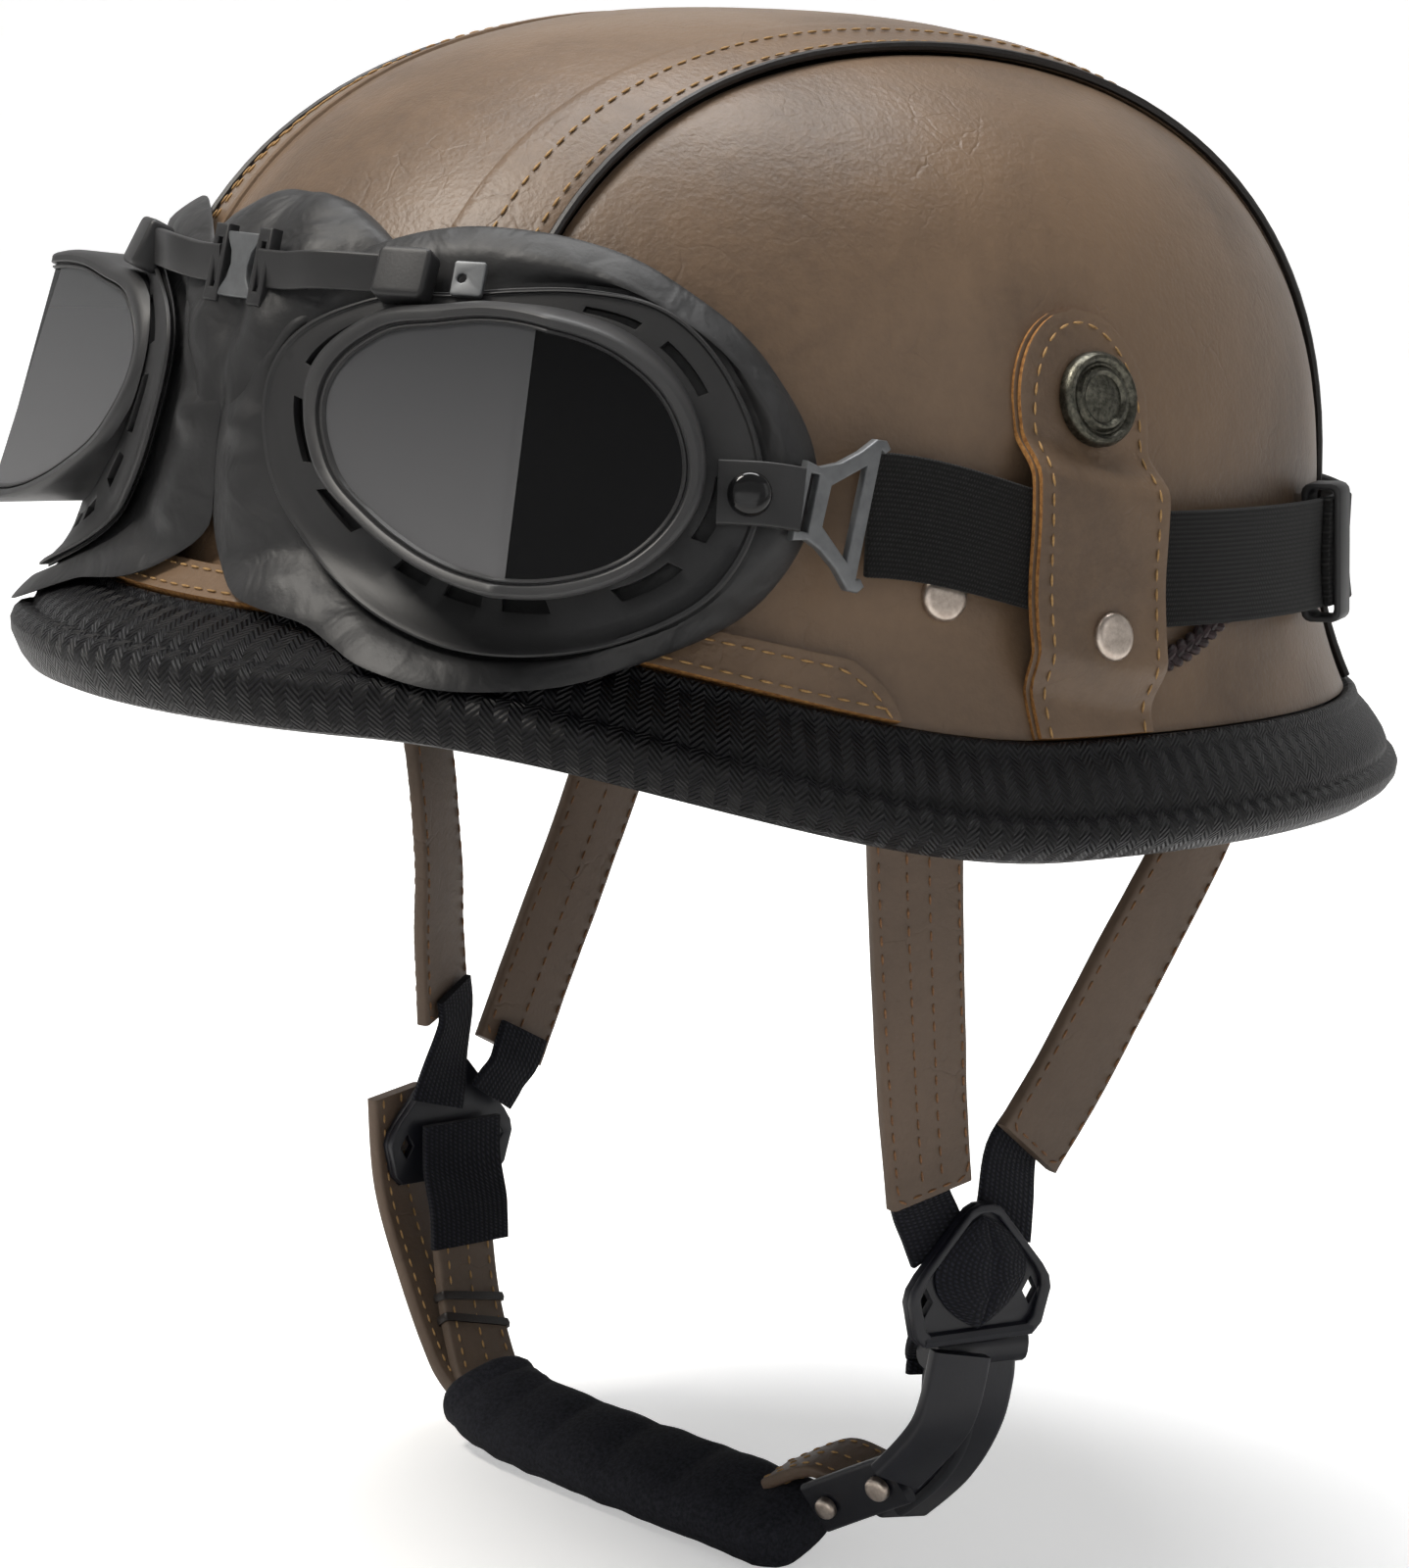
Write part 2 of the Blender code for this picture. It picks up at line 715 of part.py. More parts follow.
def tab_lift(y, z):
    """The tab rides over the elastic and comes back to the leather above and below it."""
    around = side_turn(y, 0.0)
    over = elastic_lift(around) + ELASTIC_THICK + 3 * REST_GAP
    beyond = TAB_LEVEL_ABOVE if z > elastic_height(around) else TAB_LEVEL_BELOW
    away = abs(z - elastic_height(around)) - ELASTIC_WIDTH / 2 - beyond
    return blend(over, REST_GAP, ease(away / (9 * MM)))


def button_place(side, y, z, height):
    """The seat and the axis of a round piece on a side, clear of what it sits on."""
    normal = side_normal(side, y, z)
    return side_point(side, y, z) + normal * height, normal


def make_snap_button(name, side):
    seat = tab_lift(BUTTON_Y, BUTTON_Z) + TAB_LEATHER + 2 * REST_GAP
    place, axis = button_place(side, BUTTON_Y, BUTTON_Z, seat)
    edge = BUTTON_RADIUS
    profile = (
        (0.0, 0.0),
        (edge, 0.0),
        (edge, BUTTON_HEIGHT * 0.6),
        (edge * 0.86, BUTTON_HEIGHT),
        (edge * 0.62, BUTTON_HEIGHT),
        (edge * 0.56, BUTTON_HEIGHT * 0.7),
        (0.0, BUTTON_HEIGHT * 0.8),
    )
    turned_piece(name, profile, place, axis, "button")


def rivet_profile(radius, height):
    return (
        (0.0, 0.0),
        (radius, 0.0),
        (radius, height * 0.45),
        (radius * 0.75, height * 0.9),
        (0.0, height),
    )


def make_rivet(name, side, y, z, under):
    place, axis = button_place(side, y, z, under)
    turned_piece(name, rivet_profile(RIVET_RADIUS, RIVET_HEIGHT), place, axis, "steel")


def make_braided_cord(name, side):
    """The short length of cord that shows between a tab and the elastic."""
    points = []
    steps = 6
    for step in range(steps + 1):
        share = step / steps
        y = blend(CORD_START_Y, CORD_END_Y, share)
        z = blend(CORD_START_Z, CORD_END_Z, ease(share))
        points.append(side_point(side, y, z, 2 * REST_GAP + CORD_RADIUS))
    tube_piece(name, points, CORD_RADIUS, "piping")


def cup_outline(column, turn):
    """The reach of one of the eyecup's outlines in a direction, smoothed between its rows."""
    index = EYECUP_COLUMNS.index(column)
    count = len(EYECUP_ROWS)
    place = turn / (2 * math.pi) * count
    base = math.floor(place)
    share = place - base
    before, one, two, after = (EYECUP_ROWS[(base + k) % count][index] for k in (-1, 0, 1, 2))
    bend = one - before, after - two
    middle = blend(one, two, share)
    curve = share * (1 - share) * ((1 - share) * (bend[0] - (two - one)) - share * (bend[1] - (two - one)))
    return (middle + 0.5 * curve) * MM


def cup_station(column, turn, grow=0.0):
    """The arc and the height of an outline's point."""
    reach = cup_outline(column, turn) + grow
    return CUP_CENTRE_ARC + reach * math.cos(turn), CUP_CENTRE_Z + reach * math.sin(turn)


def outside_shell(x, y, z, proud):
    around = math.atan2(y / half_length(y), x / HALF_WIDTH)
    if z >= 0:
        wall = skin_point(around, z)
        extra = proud / max(0.35, math.hypot(wall.x, wall.y) / math.hypot(*waist_reach(around)))
    else:
        down = -z / rim_drop(around)
        wall = flare_point(around, min(down, 1.15))
        extra = proud * math.hypot(1.0, 2 * rim_flare(around) * down / rim_drop(around))
    return math.hypot(x, y) > math.hypot(wall.x, wall.y) + extra


def waist_reach(around):
    return HALF_WIDTH * math.cos(around), half_length(math.sin(around)) * math.sin(around)


def shell_reach(bearing, z, proud=0.0):
    """How far the outside lies from the left eyecup's axis at a height, found by halving."""
    low, high = 60 * MM, 220 * MM
    for _ in range(24):
        middle = (low + high) / 2
        x = CUP_AXIS_X + middle * math.sin(bearing)
        y = CUP_AXIS_Y - middle * math.cos(bearing)
        if outside_shell(x, y, z, proud):
            high = middle
        else:
            low = middle
    return high


def base_reach(bearing, z):
    """The surface of the eyecup's flange: a cone, held off the shell where they come close."""
    cone = CUP_RADIUS - CUP_LEAN * (z - CUP_LEVEL)
    held = shell_reach(bearing, z, CUP_OFF_SHELL)
    return (cone + held + math.hypot(cone - held, CUP_BLEND)) / 2


def pane_reach(bearing, z):
    """How far the lens panes lie from the cup's axis: the nearer of two leaning planes."""
    reach = []
    for turn in (FRONT_PANE_TURN, SIDE_PANE_TURN):
        nx, ny = math.sin(turn), -math.cos(turn)
        ridge_x = PANE_RIDGE_X - PANE_RIDGE_LEAN * (z - CUP_LEVEL) - CUP_AXIS_X
        ridge_y = PANE_RIDGE_Y + CUP_LEAN * (z - CUP_LEVEL) - CUP_AXIS_Y
        facing = math.sin(bearing) * nx - math.cos(bearing) * ny
        reach.append((ridge_x * nx + ridge_y * ny) / facing)
    return min(reach)


def reach_point(side, bearing, z, reach):
    x = CUP_AXIS_X + reach * math.sin(bearing)
    y = CUP_AXIS_Y - reach * math.cos(bearing)
    return Vector((side * x, y, z))


def cup_point(side, arc, z, proud):
    """A point of an eyecup, proud of its flange's seat."""
    bearing = arc / CUP_RADIUS
    return reach_point(side, bearing, z, base_reach(bearing, z) + proud)


def pane_point(side, arc, z, proud):
    bearing = arc / CUP_RADIUS
    return reach_point(side, bearing, z, pane_reach(bearing, z) + proud)


def cup_turns():
    return [2 * math.pi * step / CUP_AROUND for step in range(CUP_AROUND)]


def make_goggle_frame(name, side):
    """The flat flange round an eyecup, with a ring of open vent slots."""
    rows = []
    for share in (0.0, 0.36, 0.66, 1.0):
        row = []
        for turn in cup_turns():
            outer = cup_outline("flange", turn)
            inner = cup_outline("lens", turn) + 1.2 * MM
            reach = blend(outer, inner, share)
            arc = CUP_CENTRE_ARC + reach * math.cos(turn)
            z = CUP_CENTRE_Z + reach * math.sin(turn)
            row.append(cup_point(side, arc, z, FLANGE_THICK))
        rows.append(row)
    mesh = fill_mesh(name, rows, wrap_across=True, open_faces=[(1, k) for k in VENT_PLACES])
    middle = cup_point(side, CUP_CENTRE_ARC, CUP_CENTRE_Z, -60 * MM)
    facing = sum(face.normal.dot(face.center - middle) * face.area for face in mesh.polygons)
    if facing < 0:
        mesh.flip_normals()
    add_wall(place_mesh(name, mesh, "goggle"), FLANGE_THICK)


def rim_section(side, turn):
    """The lens holder's wall at one place: it rises from the flange and holds the panes."""
    base = FLANGE_THICK + REST_GAP
    foot_out = cup_station("rim", turn, -0.8 * MM)
    top_out = cup_station("rim", turn)
    middle = blend_pair(top_out, cup_station("lens", turn), 0.5)
    top_in = cup_station("lens", turn)
    foot_in = cup_station("lens", turn, 0.4 * MM)
    shoulder = max(base + 0.4 * MM, pane_gap(top_out) - 0.6 * MM)
    return [
        cup_point(side, *foot_out, base),
        cup_point(side, *top_out, shoulder),
        cup_point(side, *middle, max(shoulder + 0.5 * MM, pane_gap(middle) + RIM_LIP)),
        cup_point(side, *top_in, pane_gap(top_in) + RIM_LIP * 0.5),
        cup_point(side, *foot_in, min(base, pane_gap(foot_in))),
    ]


def blend_pair(one, two, share):
    return blend(one[0], two[0], share), blend(one[1], two[1], share)


def pane_gap(station):
    """How far the lens panes stand proud of the flange's seat at a station."""
    arc, z = station
    return pane_reach(arc / CUP_RADIUS, z) - base_reach(arc / CUP_RADIUS, z)


def make_goggle_rim(name, side):
    sections = [rim_section(side, turn) for turn in cup_turns()]
    solid_piece(name, sections, "goggle")


def make_lens(name, side, pane):
    """One flat pane of the split lens, front or side of the ridge."""
    bearing = math.atan2(PANE_RIDGE_X - CUP_AXIS_X, -(PANE_RIDGE_Y - CUP_AXIS_Y))
    outline = [cup_station("lens", turn, -0.5 * MM) for turn in cup_turns()]
    direction = 1 if pane == "side" else -1
    cut = bearing * CUP_RADIUS + direction * 0.3 * MM
    kept = clip_outline(outline, cut, direction)
    front = [pane_point(side, arc, z, 0.0) for arc, z in kept]
    back = [pane_point(side, arc, z, -LENS_THICK) for arc, z in kept]
    solid_piece(name, [back, front], "lens", closed_path=False)


def clip_outline(outline, cut, direction):
    """The part of a closed outline on one side of a cut."""
    kept = []
    for one, two in zip(outline, outline[1:] + outline[:1]):
        one_in = direction * (one[0] - cut) >= 0
        two_in = direction * (two[0] - cut) >= 0
        if one_in:
            kept.append(one)
        if one_in != two_in:
            share = (cut - one[0]) / (two[0] - one[0])
            kept.append((cut, blend(one[1], two[1], share)))
    return kept


def pad_point(side, station, up):
    """A point of a cushion; up is a distance above its seat over the shell."""
    bearing = station[0] / CUP_RADIUS
    return reach_point(side, bearing, station[1], shell_reach(bearing, station[1], PAD_OFF_SHELL) + up)


def pad_room(station):
    """How thick the cushion can be between its seat and the flange."""
    bearing = station[0] / CUP_RADIUS
    seat = shell_reach(bearing, station[1], PAD_OFF_SHELL)
    return base_reach(bearing, station[1]) - FLANGE_TO_PAD - seat


def pad_section(side, turn):
    """The cushion at one place: a soft roll on the shell, with the flange on its back."""
    outer = limit_to_nose(cup_station("pad", turn, -1.5 * MM))
    bulge = limit_to_nose(cup_station("pad", turn))
    crest = limit_to_nose(cup_station("pad", turn, -4.0 * MM))
    under = limit_to_nose(cup_station("flange", turn, 0.8 * MM))
    under_in = cup_station("lens", turn, 0.5 * MM)
    under_mid = blend_pair(under, under_in, 0.5)
    inner = cup_station("lens", turn, -2.0 * MM)
    roll = min(PAD_ROLL, pad_room(crest) + 1.0 * MM)
    return [
        pad_point(side, outer, 0.0),
        pad_point(side, bulge, roll * 0.4),
        pad_point(side, crest, roll),
        cup_point(side, *under, -FLANGE_TO_PAD),
        cup_point(side, *under_mid, -FLANGE_TO_PAD),
        cup_point(side, *under_in, -FLANGE_TO_PAD),
        pad_point(side, inner, 0.0),
        pad_point(side, under_mid, 0.0),
        pad_point(side, under, 0.0),
    ]


def limit_to_nose(station):
    """Keeps the two cushions apart at the middle of the face."""
    arc, z = station
    bearing = math.asin((PAD_APART / 2 - CUP_AXIS_X) / CUP_RADIUS)
    return max(arc, bearing * CUP_RADIUS), z


def make_goggle_pad(name, side):
    sections = [pad_section(side, turn) for turn in cup_turns()]
    solid_piece(name, sections, "cushion")


def ribbon_piece(name, stations, width, thickness, across, material, widths=None):
    """A flat strap along a path; across is the rough direction of its width."""
    rows = ribbon_rows(stations, width, across, widths)
    mesh = fill_mesh(name, rows)
    return add_wall(place_mesh(name, mesh, material), thickness, offset=0.0)


def ribbon_rows(stations, width, across, widths=None):
    rows = []
    count = len(stations)
    for index, place in enumerate(stations):
        ahead = stations[min(index + 1, count - 1)] - stations[max(index - 1, 0)]
        ahead.normalize()
        hint = Vector(across[index]) if isinstance(across, list) else Vector(across)
        flat = (hint - ahead * hint.dot(ahead)).normalized()
        half = (widths[index] if widths else width) / 2
        rows.append([place - flat * half, place + flat * half])
    return rows


def smooth_path(knots, steps):
    """Points of a curve through a few knots, with evenly shared steps between them."""
    points = []
    count = len(knots)
    for index in range(count - 1):
        before = knots[max(index - 1, 0)]
        one, two = knots[index], knots[index + 1]
        after = knots[min(index + 2, count - 1)]
        for step in range(steps):
            t = step / steps
            points.append(curve_point(before, one, two, after, t))
    points.append(Vector(knots[-1]))
    return points


def curve_point(before, one, two, after, t):
    before, one, two, after = (Vector(v) for v in (before, one, two, after))
    return 0.5 * (
        2 * one
        + (two - before) * t
        + (2 * before - 5 * one + 4 * two - after) * t**2
        + (3 * one - before - 3 * two + after) * t**3
    )


def mm(*values):
    return Vector(value * MM for value in values)


def wall_inside(side, y, z, thickness):
    """A place against the shell's inner wall for a strap of a given thickness."""
    return side_point(side, y, z, SHELL_IN - REST_GAP - thickness / 2 - 2.8 * MM)


# Each head strap runs from its seat inside the shell to its adjuster.
# Seat is (y, z) on the inner wall; hang is the places (x, y, z) on its way down. Millimetres.
HEAD_STRAPS = {
    "front_strap_left": {
        "side": 1,
        "seat": ((-42, -4), (-40, -24)),
        "hang": ((89.5, -38, -45), (87.5, -36, -58), (85, -30.5, -85), (83, -25.5, -108), (82, -21.6, -125)),
        "turns": (72, 72, 74, 76, 80, 84, 86),
    },
    "front_strap_right": {
        "side": -1,
        "seat": ((-36, -4), (-32, -22)),
        "hang": ((-86, -23, -43), (-81, -18, -57), (-78.5, -15, -84), (-81, -11.5, -104), (-83, -8.0, -121)),
        "turns": (108, 108, 112, 118, 118, 116, 114),
    },
    "rear_strap_left": {
        "side": 1,
        "seat": ((58, -4), (54, -24)),
        "hang": ((89, 49, -46), (86.5, 42.5, -60), (85, 26.5, -85), (84, 13.5, -105), (83, 3.5, -119)),
        "turns": (114, 112, 98, 92, 90, 90, 90),
    },
    "rear_strap_right": {
        "side": -1,
        "seat": ((58, -4), (54, -24)),
        "hang": ((-89, 49, -46), (-86, 43, -62), (-84.5, 30.5, -90), (-83, 19.5, -112), (-81.5, 9.7, -132)),
        "turns": (66, 68, 82, 90, 92, 92, 92),
    },
}

# Places of the adjusters, in millimetres, and the bearing of their width in degrees.
ADJUSTERS = {
    "left": {"place": (83.4, -8.4, -141.6), "turn": 82, "side": 1, "layer": 0.0},
    "right": {"place": (-84.8, -3.4, -146), "turn": 90, "side": -1, "layer": 0.8},
}


def flat_direction(turn):
    return Vector((math.cos(math.radians(turn)), math.sin(math.radians(turn)), 0.0))


def strap_knots(row):
    seats = [wall_inside(row["side"], y * MM, z * MM, STRAP_THICK) for y, z in row["seat"]]
    return seats + [mm(*place) for place in row["hang"]]


def make_head_strap(name, row):
    path = smooth_path(strap_knots(row), 2)
    turns = row["turns"]
    across = []
    for index in range(len(path)):
        knot = index // 2
        after = turns[min(knot + 1, len(turns) - 1)]
        across.append(flat_direction(blend(turns[knot], after, 0.5 * (index % 2))))
    ribbon_piece(name, path, STRAP_WIDTH, STRAP_THICK, across, "leather")


def adjuster_frame(row):
    across = flat_direction(row["turn"])
    normal = Vector((across.y, -across.x, 0.0)) * row["side"]
    return frame_at(mm(*row["place"]), across, normal), across, normal


def adjuster_outline():
    half = ADJUSTER_WIDTH / 2
    tall = ADJUSTER_HEIGHT / 2
    return [
        (-half * 0.78, -tall),
        (half * 0.78, -tall),
        (half, -tall * 0.35),
        (half * 0.86, -tall * 0.02),
        (half * 0.16, tall),
        (-half * 0.16, tall),
        (-half * 0.86, -tall * 0.02),
        (-half, -tall * 0.35),
    ]


def window_outline(side):
    middle = side * ADJUSTER_WIDTH * 0.37
    wide = 1.7 * MM
    tall = 2.8 * MM
    low = -ADJUSTER_HEIGHT * 0.19
    return [(middle - wide, low), (middle, low - tall), (middle + wide, low), (middle, low + tall)]


def make_adjuster(name, row):
    frame, across, normal = adjuster_frame(row)
    outlines = [adjuster_outline(), window_outline(-1), window_outline(1)]
    outline_piece(name, outlines, ADJUSTER_THICK, frame, "goggle")


def behind_adjuster(row, layer, shift, rise):
    """A place on the wearer's side of an adjuster, in a layer of webbing."""
    frame, across, normal = adjuster_frame(row)
    depth = ADJUSTER_THICK / 2 + 2 * REST_GAP + WEB_THICK / 2 + layer * (WEB_THICK + 2 * REST_GAP)
    return frame.translation - normal * depth + across * shift * MM + Vector((0, 0, rise * MM))


def make_webbing(name, row, strap_row, layer, shift):
    """Webbing sewn behind a head strap's end, down to the back of its adjuster."""
    knots = strap_knots(strap_row)
    side = row["side"]
    ahead = (knots[-1] - knots[-2]).normalized()
    inward = STRAP_THICK / 2 + WEB_THICK / 2 + 2 * REST_GAP
    normal = flat_direction(strap_row["turns"][-1]).cross(ahead).normalized()
    normal = normal if normal.x * side > 0 else -normal
    tucked = knots[-1] - ahead * 5 * MM - normal * inward
    out = knots[-1] + ahead * 2 * MM - normal * inward
    place = behind_adjuster(row, layer, shift, 4.5)
    path = smooth_path([tucked, out, out.lerp(place, 0.55), place], 2)
    top, last = strap_row["turns"][-1], len(path) - 1
    shares = [ease((i - 2) / (last - 2)) for i in range(len(path))]
    across = [flat_direction(blend(top, row["turn"], share)) for share in shares]
    ribbon_piece(name, path, WEB_WIDTH, WEB_THICK, across, "webbing")


def make_chin_webbing(name, row, knots):
    """Webbing from behind an adjuster down to the chin strap."""
    start = behind_adjuster(row, 0.6, 0.0, 0.0)
    low = behind_adjuster(row, 0.9, 0.0, -9.0)
    path = smooth_path([start, low] + [mm(*knot) for knot in knots], 2)
    ribbon_piece(name, path, CHIN_WEB_WIDTH, WEB_THICK, flat_direction(row["turn"]), "webbing")


# The chin strap's pieces hang below the adjusters: path in millimetres, width, thickness,
# the rough direction of the width, and the material.
CHIN_STRAPS = {
    "chin_leather": {
        "path": ((-79.5, -5, -166), (-73.5, -5.5, -182), (-64, -8, -194)),
        "size": (17, 2.8),
        "across": (-0.1, 0.99, 0),
        "material": "leather",
    },
    "strap_tail": {
        "path": ((-89.5, -15, -140), (-88.5, -13, -160), (-82, -10.5, -179), (-69.5, -10.5, -196)),
        "size": (16.5, 3.0),
        "across": (-0.2, 0.97, 0),
        "material": "leather",
    },
    "buckle_lever": {
        "path": ((82.5, -11, -160), (81, -13.5, -172), (73.5, -18, -184)),
        "size": (13, 3.2),
        "across": (0.25, 0.97, 0),
        "material": "goggle",
    },
    "buckle_tongue": {
        "path": ((70.5, -14.8, -185.8), (61, -15.0, -190.8), (50.5, -15.2, -196.5)),
        "size": (9.5, 2.2),
        "across": (0.47, 0.35, -0.72),
        "material": "leather",
    },
    "chin_loop": {
        "path": ((51.5, -6.5, -188), (44, -6.5, -187.5), (36, -8, -189.5)),
        "size": (14, 2.6),
        "across": (0.1, 0.9, 0.3),
        "material": "leather",
    },
}


def make_chin_strap(name):
    row = CHIN_STRAPS[name]
    width, thickness = row["size"]
    path = smooth_path([mm(*place) for place in row["path"]], 3)
    ribbon_piece(name, path, width * MM, thickness * MM, row["across"], row["material"])


def make_buckle_body():
    """The buckle's curved shell, which narrows to its cut end."""
    knots = [mm(76.5, -2, -161), mm(75, -2, -174), mm(69, -2, -186), mm(60, -3, -196)]
    path = smooth_path(knots, 2)
    widths = [blend(20.0, 15.0, i / (len(path) - 1)) * MM for i in range(len(path))]
    ribbon_piece("buckle_body", path, 0, BUCKLE_THICK, (0.15, 0.99, 0), "goggle", widths)


def make_chin_pad():
    """The padded sleeve under the chin, slack between its two ends."""
    knots = [mm(-57, -13, -199.5), mm(-44, -15, -201.5), mm(-15, -16, -202), mm(20, -16, -202), mm(46, -14.5, -203)]
    path = smooth_path(knots, 4)
    sections = []
    for index, place in enumerate(path):
        ahead = (path[min(index + 1, len(path) - 1)] - path[max(index - 1, 0)]).normalized()
        share = index / (len(path) - 1)
        swell = 0.7 + 0.3 * min(1.0, min(share, 1 - share) * 9) + 0.03 * math.sin(share * 34)
        across = Vector((0.0, math.cos(CHIN_PAD_ROLL), math.sin(CHIN_PAD_ROLL)))
        across = (across - ahead * across.dot(ahead)).normalized()
        sections.append(pad_ring(place, across, across.cross(ahead), swell))
    solid_piece("chin_pad", sections, "webbing", closed_path=False)


def pad_ring(place, across, up, swell):
    ring = []
    for corner in range(10):
        turn = 2 * math.pi * corner / 10
        wide = math.copysign(abs(math.cos(turn)) ** 0.8, math.cos(turn)) * CHIN_PAD_WIDTH / 2
        tall = math.copysign(abs(math.sin(turn)) ** 0.8, math.sin(turn)) * CHIN_PAD_THICK / 2
        ring.append(place + across * wide * swell + up * tall * swell)
    return ring


def make_buckle_rivet(name, place, radius):
    axis = Vector((0.2, -0.93, -0.3)).normalized()
    turned_piece(name, rivet_profile(radius, RIVET_HEIGHT), mm(*place), axis, "steel")


def make_pivot(name, side):
    """The round button that joins the strap's link to the eyecup."""
    step = 4.0 * MM
    along = cup_point(side, PIVOT_ARC + step, PIVOT_Z, 0.0) - cup_point(side, PIVOT_ARC - step, PIVOT_Z, 0.0)
    upward = cup_point(side, PIVOT_ARC, PIVOT_Z + step, 0.0) - cup_point(side, PIVOT_ARC, PIVOT_Z - step, 0.0)
    axis = along.normalized().cross(upward.normalized()) * side
    proud = FLANGE_THICK + LINK_THICK + 5 * REST_GAP
    place = cup_point(side, PIVOT_ARC, PIVOT_Z, proud)
    turned_piece(name, rivet_profile(PIVOT_RADIUS, 2.2 * MM), place, axis, "goggle")


def make_link(name, side):
    middle = FLANGE_THICK + 2 * REST_GAP + LINK_THICK / 2
    path = [
        cup_point(side, PIVOT_ARC - 4.5 * MM, PIVOT_Z, middle),
        cup_point(side, PIVOT_ARC + 2.5 * MM, PIVOT_Z, middle),
        cup_point(side, PIVOT_ARC + 7.0 * MM, PIVOT_Z - 0.8 * MM, 1.4 * MM),
    ]
    rise = 4.0 * MM
    top = cup_point(side, PIVOT_ARC, PIVOT_Z + rise, 0.0)
    leaning = top - cup_point(side, PIVOT_ARC, PIVOT_Z - rise, 0.0)
    ribbon_piece(name, path, LINK_WIDTH, LINK_THICK, leaning, "goggle")


def make_hook(name, side):
    """A four sided metal ring: narrow at the link, as tall as the elastic behind."""
    front = mm(side * 97.6, -79.4, 11.6)
    back = mm(side * 97.8, -62.0, 8.0)
    along = back - front
    length = along.length
    normal = Vector((0, 0, 1)).cross(along).normalized()
    normal = normal if normal.x * side > 0 else -normal
    frame = frame_at((front + back) / 2, along, normal)
    turn_up = 1.0 if frame.to_3x3().col[1].z > 0 else -1.0
    fore, aft = HOOK_FRONT_HEIGHT / 2, HOOK_BACK_HEIGHT / 2
    outer = [(-length / 2, -fore), (length / 2, -aft), (length / 2, aft), (-length / 2, fore)]
    bar = HOOK_BAR
    inner = [
        (-length / 2 + bar, -fore + bar * 0.6),
        (length / 2 - bar, -aft + bar * 1.5),
        (length / 2 - bar, aft - bar * 1.5),
        (-length / 2 + bar, fore - bar * 0.6),
    ]
    outer = [(a, b * turn_up) for a, b in outer]
    inner = [(a, b * turn_up) for a, b in inner]
    outline_piece(name, [outer, inner], HOOK_THICK, frame, "grey")


def make_bridge_clip():
    """The metal clip that joins the two bridge straps over the nose."""
    half, tall = CLIP_WIDTH / 2, CLIP_HEIGHT / 2
    waist = half * CLIP_WAIST
    outline = [(-half, -tall), (half, -tall), (waist, 0.0), (half, tall), (-half, tall), (-waist, 0.0)]
    place = Vector((0.0, BRIDGE_Y - 1.0 * MM, BRIDGE_Z))
    outline_piece("bridge_clip", [outline], CLIP_THICK, frame_at(place, (1, 0, 0), (0, -1, 0.2)), "grey")


def make_bridge_strap(name, side):
    """A short strap from the clip to the eyecup, thicker where it is fixed."""
    path = [
        Vector((side * (CLIP_WIDTH / 2 + 0.8 * MM), BRIDGE_Y - 1.0 * MM, BRIDGE_Z)),
        Vector((side * 13 * MM, BRIDGE_Y - 1.0 * MM, BRIDGE_Z)),
        Vector((side * 21 * MM, BRIDGE_Y - 0.8 * MM, BRIDGE_Z + 0.8 * MM)),
    ]
    ribbon_piece(name, path, BRIDGE_STRAP_HEIGHT, 2.0 * MM, (0, 0, 1), "goggle")


def build_shell():
    make_hard_shell()
    make_centre_panel()
    make_rim_trim()
    make_brow_band()
    for word, side in SIDES:
        make_side_panel("side_panel_" + word, side)
        make_piping("piping_" + word, side)


def build_side_hardware():
    for word, side in SIDES:
        make_side_tab("side_tab_" + word, side)
        make_snap_button("snap_button_" + word, side)
        under = tab_lift(TAB_RIVET_Y, TAB_RIVET_Z) + TAB_LEATHER + 2 * REST_GAP
        make_rivet("tab_rivet_" + word, side, TAB_RIVET_Y, TAB_RIVET_Z, under)
        make_rivet("front_rivet_" + word, side, FRONT_RIVET_Y, FRONT_RIVET_Z, REST_GAP)
        make_braided_cord("braided_cord_" + word, side)
    make_goggle_strap()
    make_strap_slider()


def build_goggles():
    for word, side in SIDES:
        make_goggle_pad("goggle_pad_" + word, side)
        make_goggle_frame("goggle_frame_" + word, side)
        make_goggle_rim("goggle_rim_" + word, side)
        make_lens("lens_front_" + word, side, "front")
        make_lens("lens_side_" + word, side, "side")
        make_pivot("pivot_button_" + word, side)
        make_link("strap_link_" + word, side)
        make_hook("strap_hook_" + word, side)
        make_bridge_strap("bridge_strap_" + word, side)
    make_bridge_clip()


def build_head_straps():
    for name, row in HEAD_STRAPS.items():
        make_head_strap(name, row)
    for word in ("left", "right"):
        make_adjuster("adjuster_" + word, ADJUSTERS[word])
        row = ADJUSTERS[word]
        front_strap = HEAD_STRAPS["front_strap_" + word]
        rear_strap = HEAD_STRAPS["rear_strap_" + word]
        make_webbing("front_webbing_" + word, row, front_strap, row["layer"], -WEB_SHIFT)
        make_webbing("rear_webbing_" + word, row, rear_strap, row["layer"], WEB_SHIFT)
    make_chin_webbing("chin_webbing_left", ADJUSTERS["left"], [(71.5, -2, -160), (71, -2, -166)])
    make_chin_webbing("chin_webbing_right", ADJUSTERS["right"], [(-75, -5, -164), (-74, -5, -172)])
    for name in CHIN_STRAPS:
        make_chin_strap(name)
    make_chin_pad()
    make_buckle_body()
    make_buckle_rivet("buckle_rivet", (67.7, -16.5, -188.0), 2.6 * MM)
    make_buckle_rivet("tongue_rivet", (53.9, -16.8, -195.5), 2.2 * MM)


build_shell()
build_side_hardware()
build_goggles()
build_head_straps()
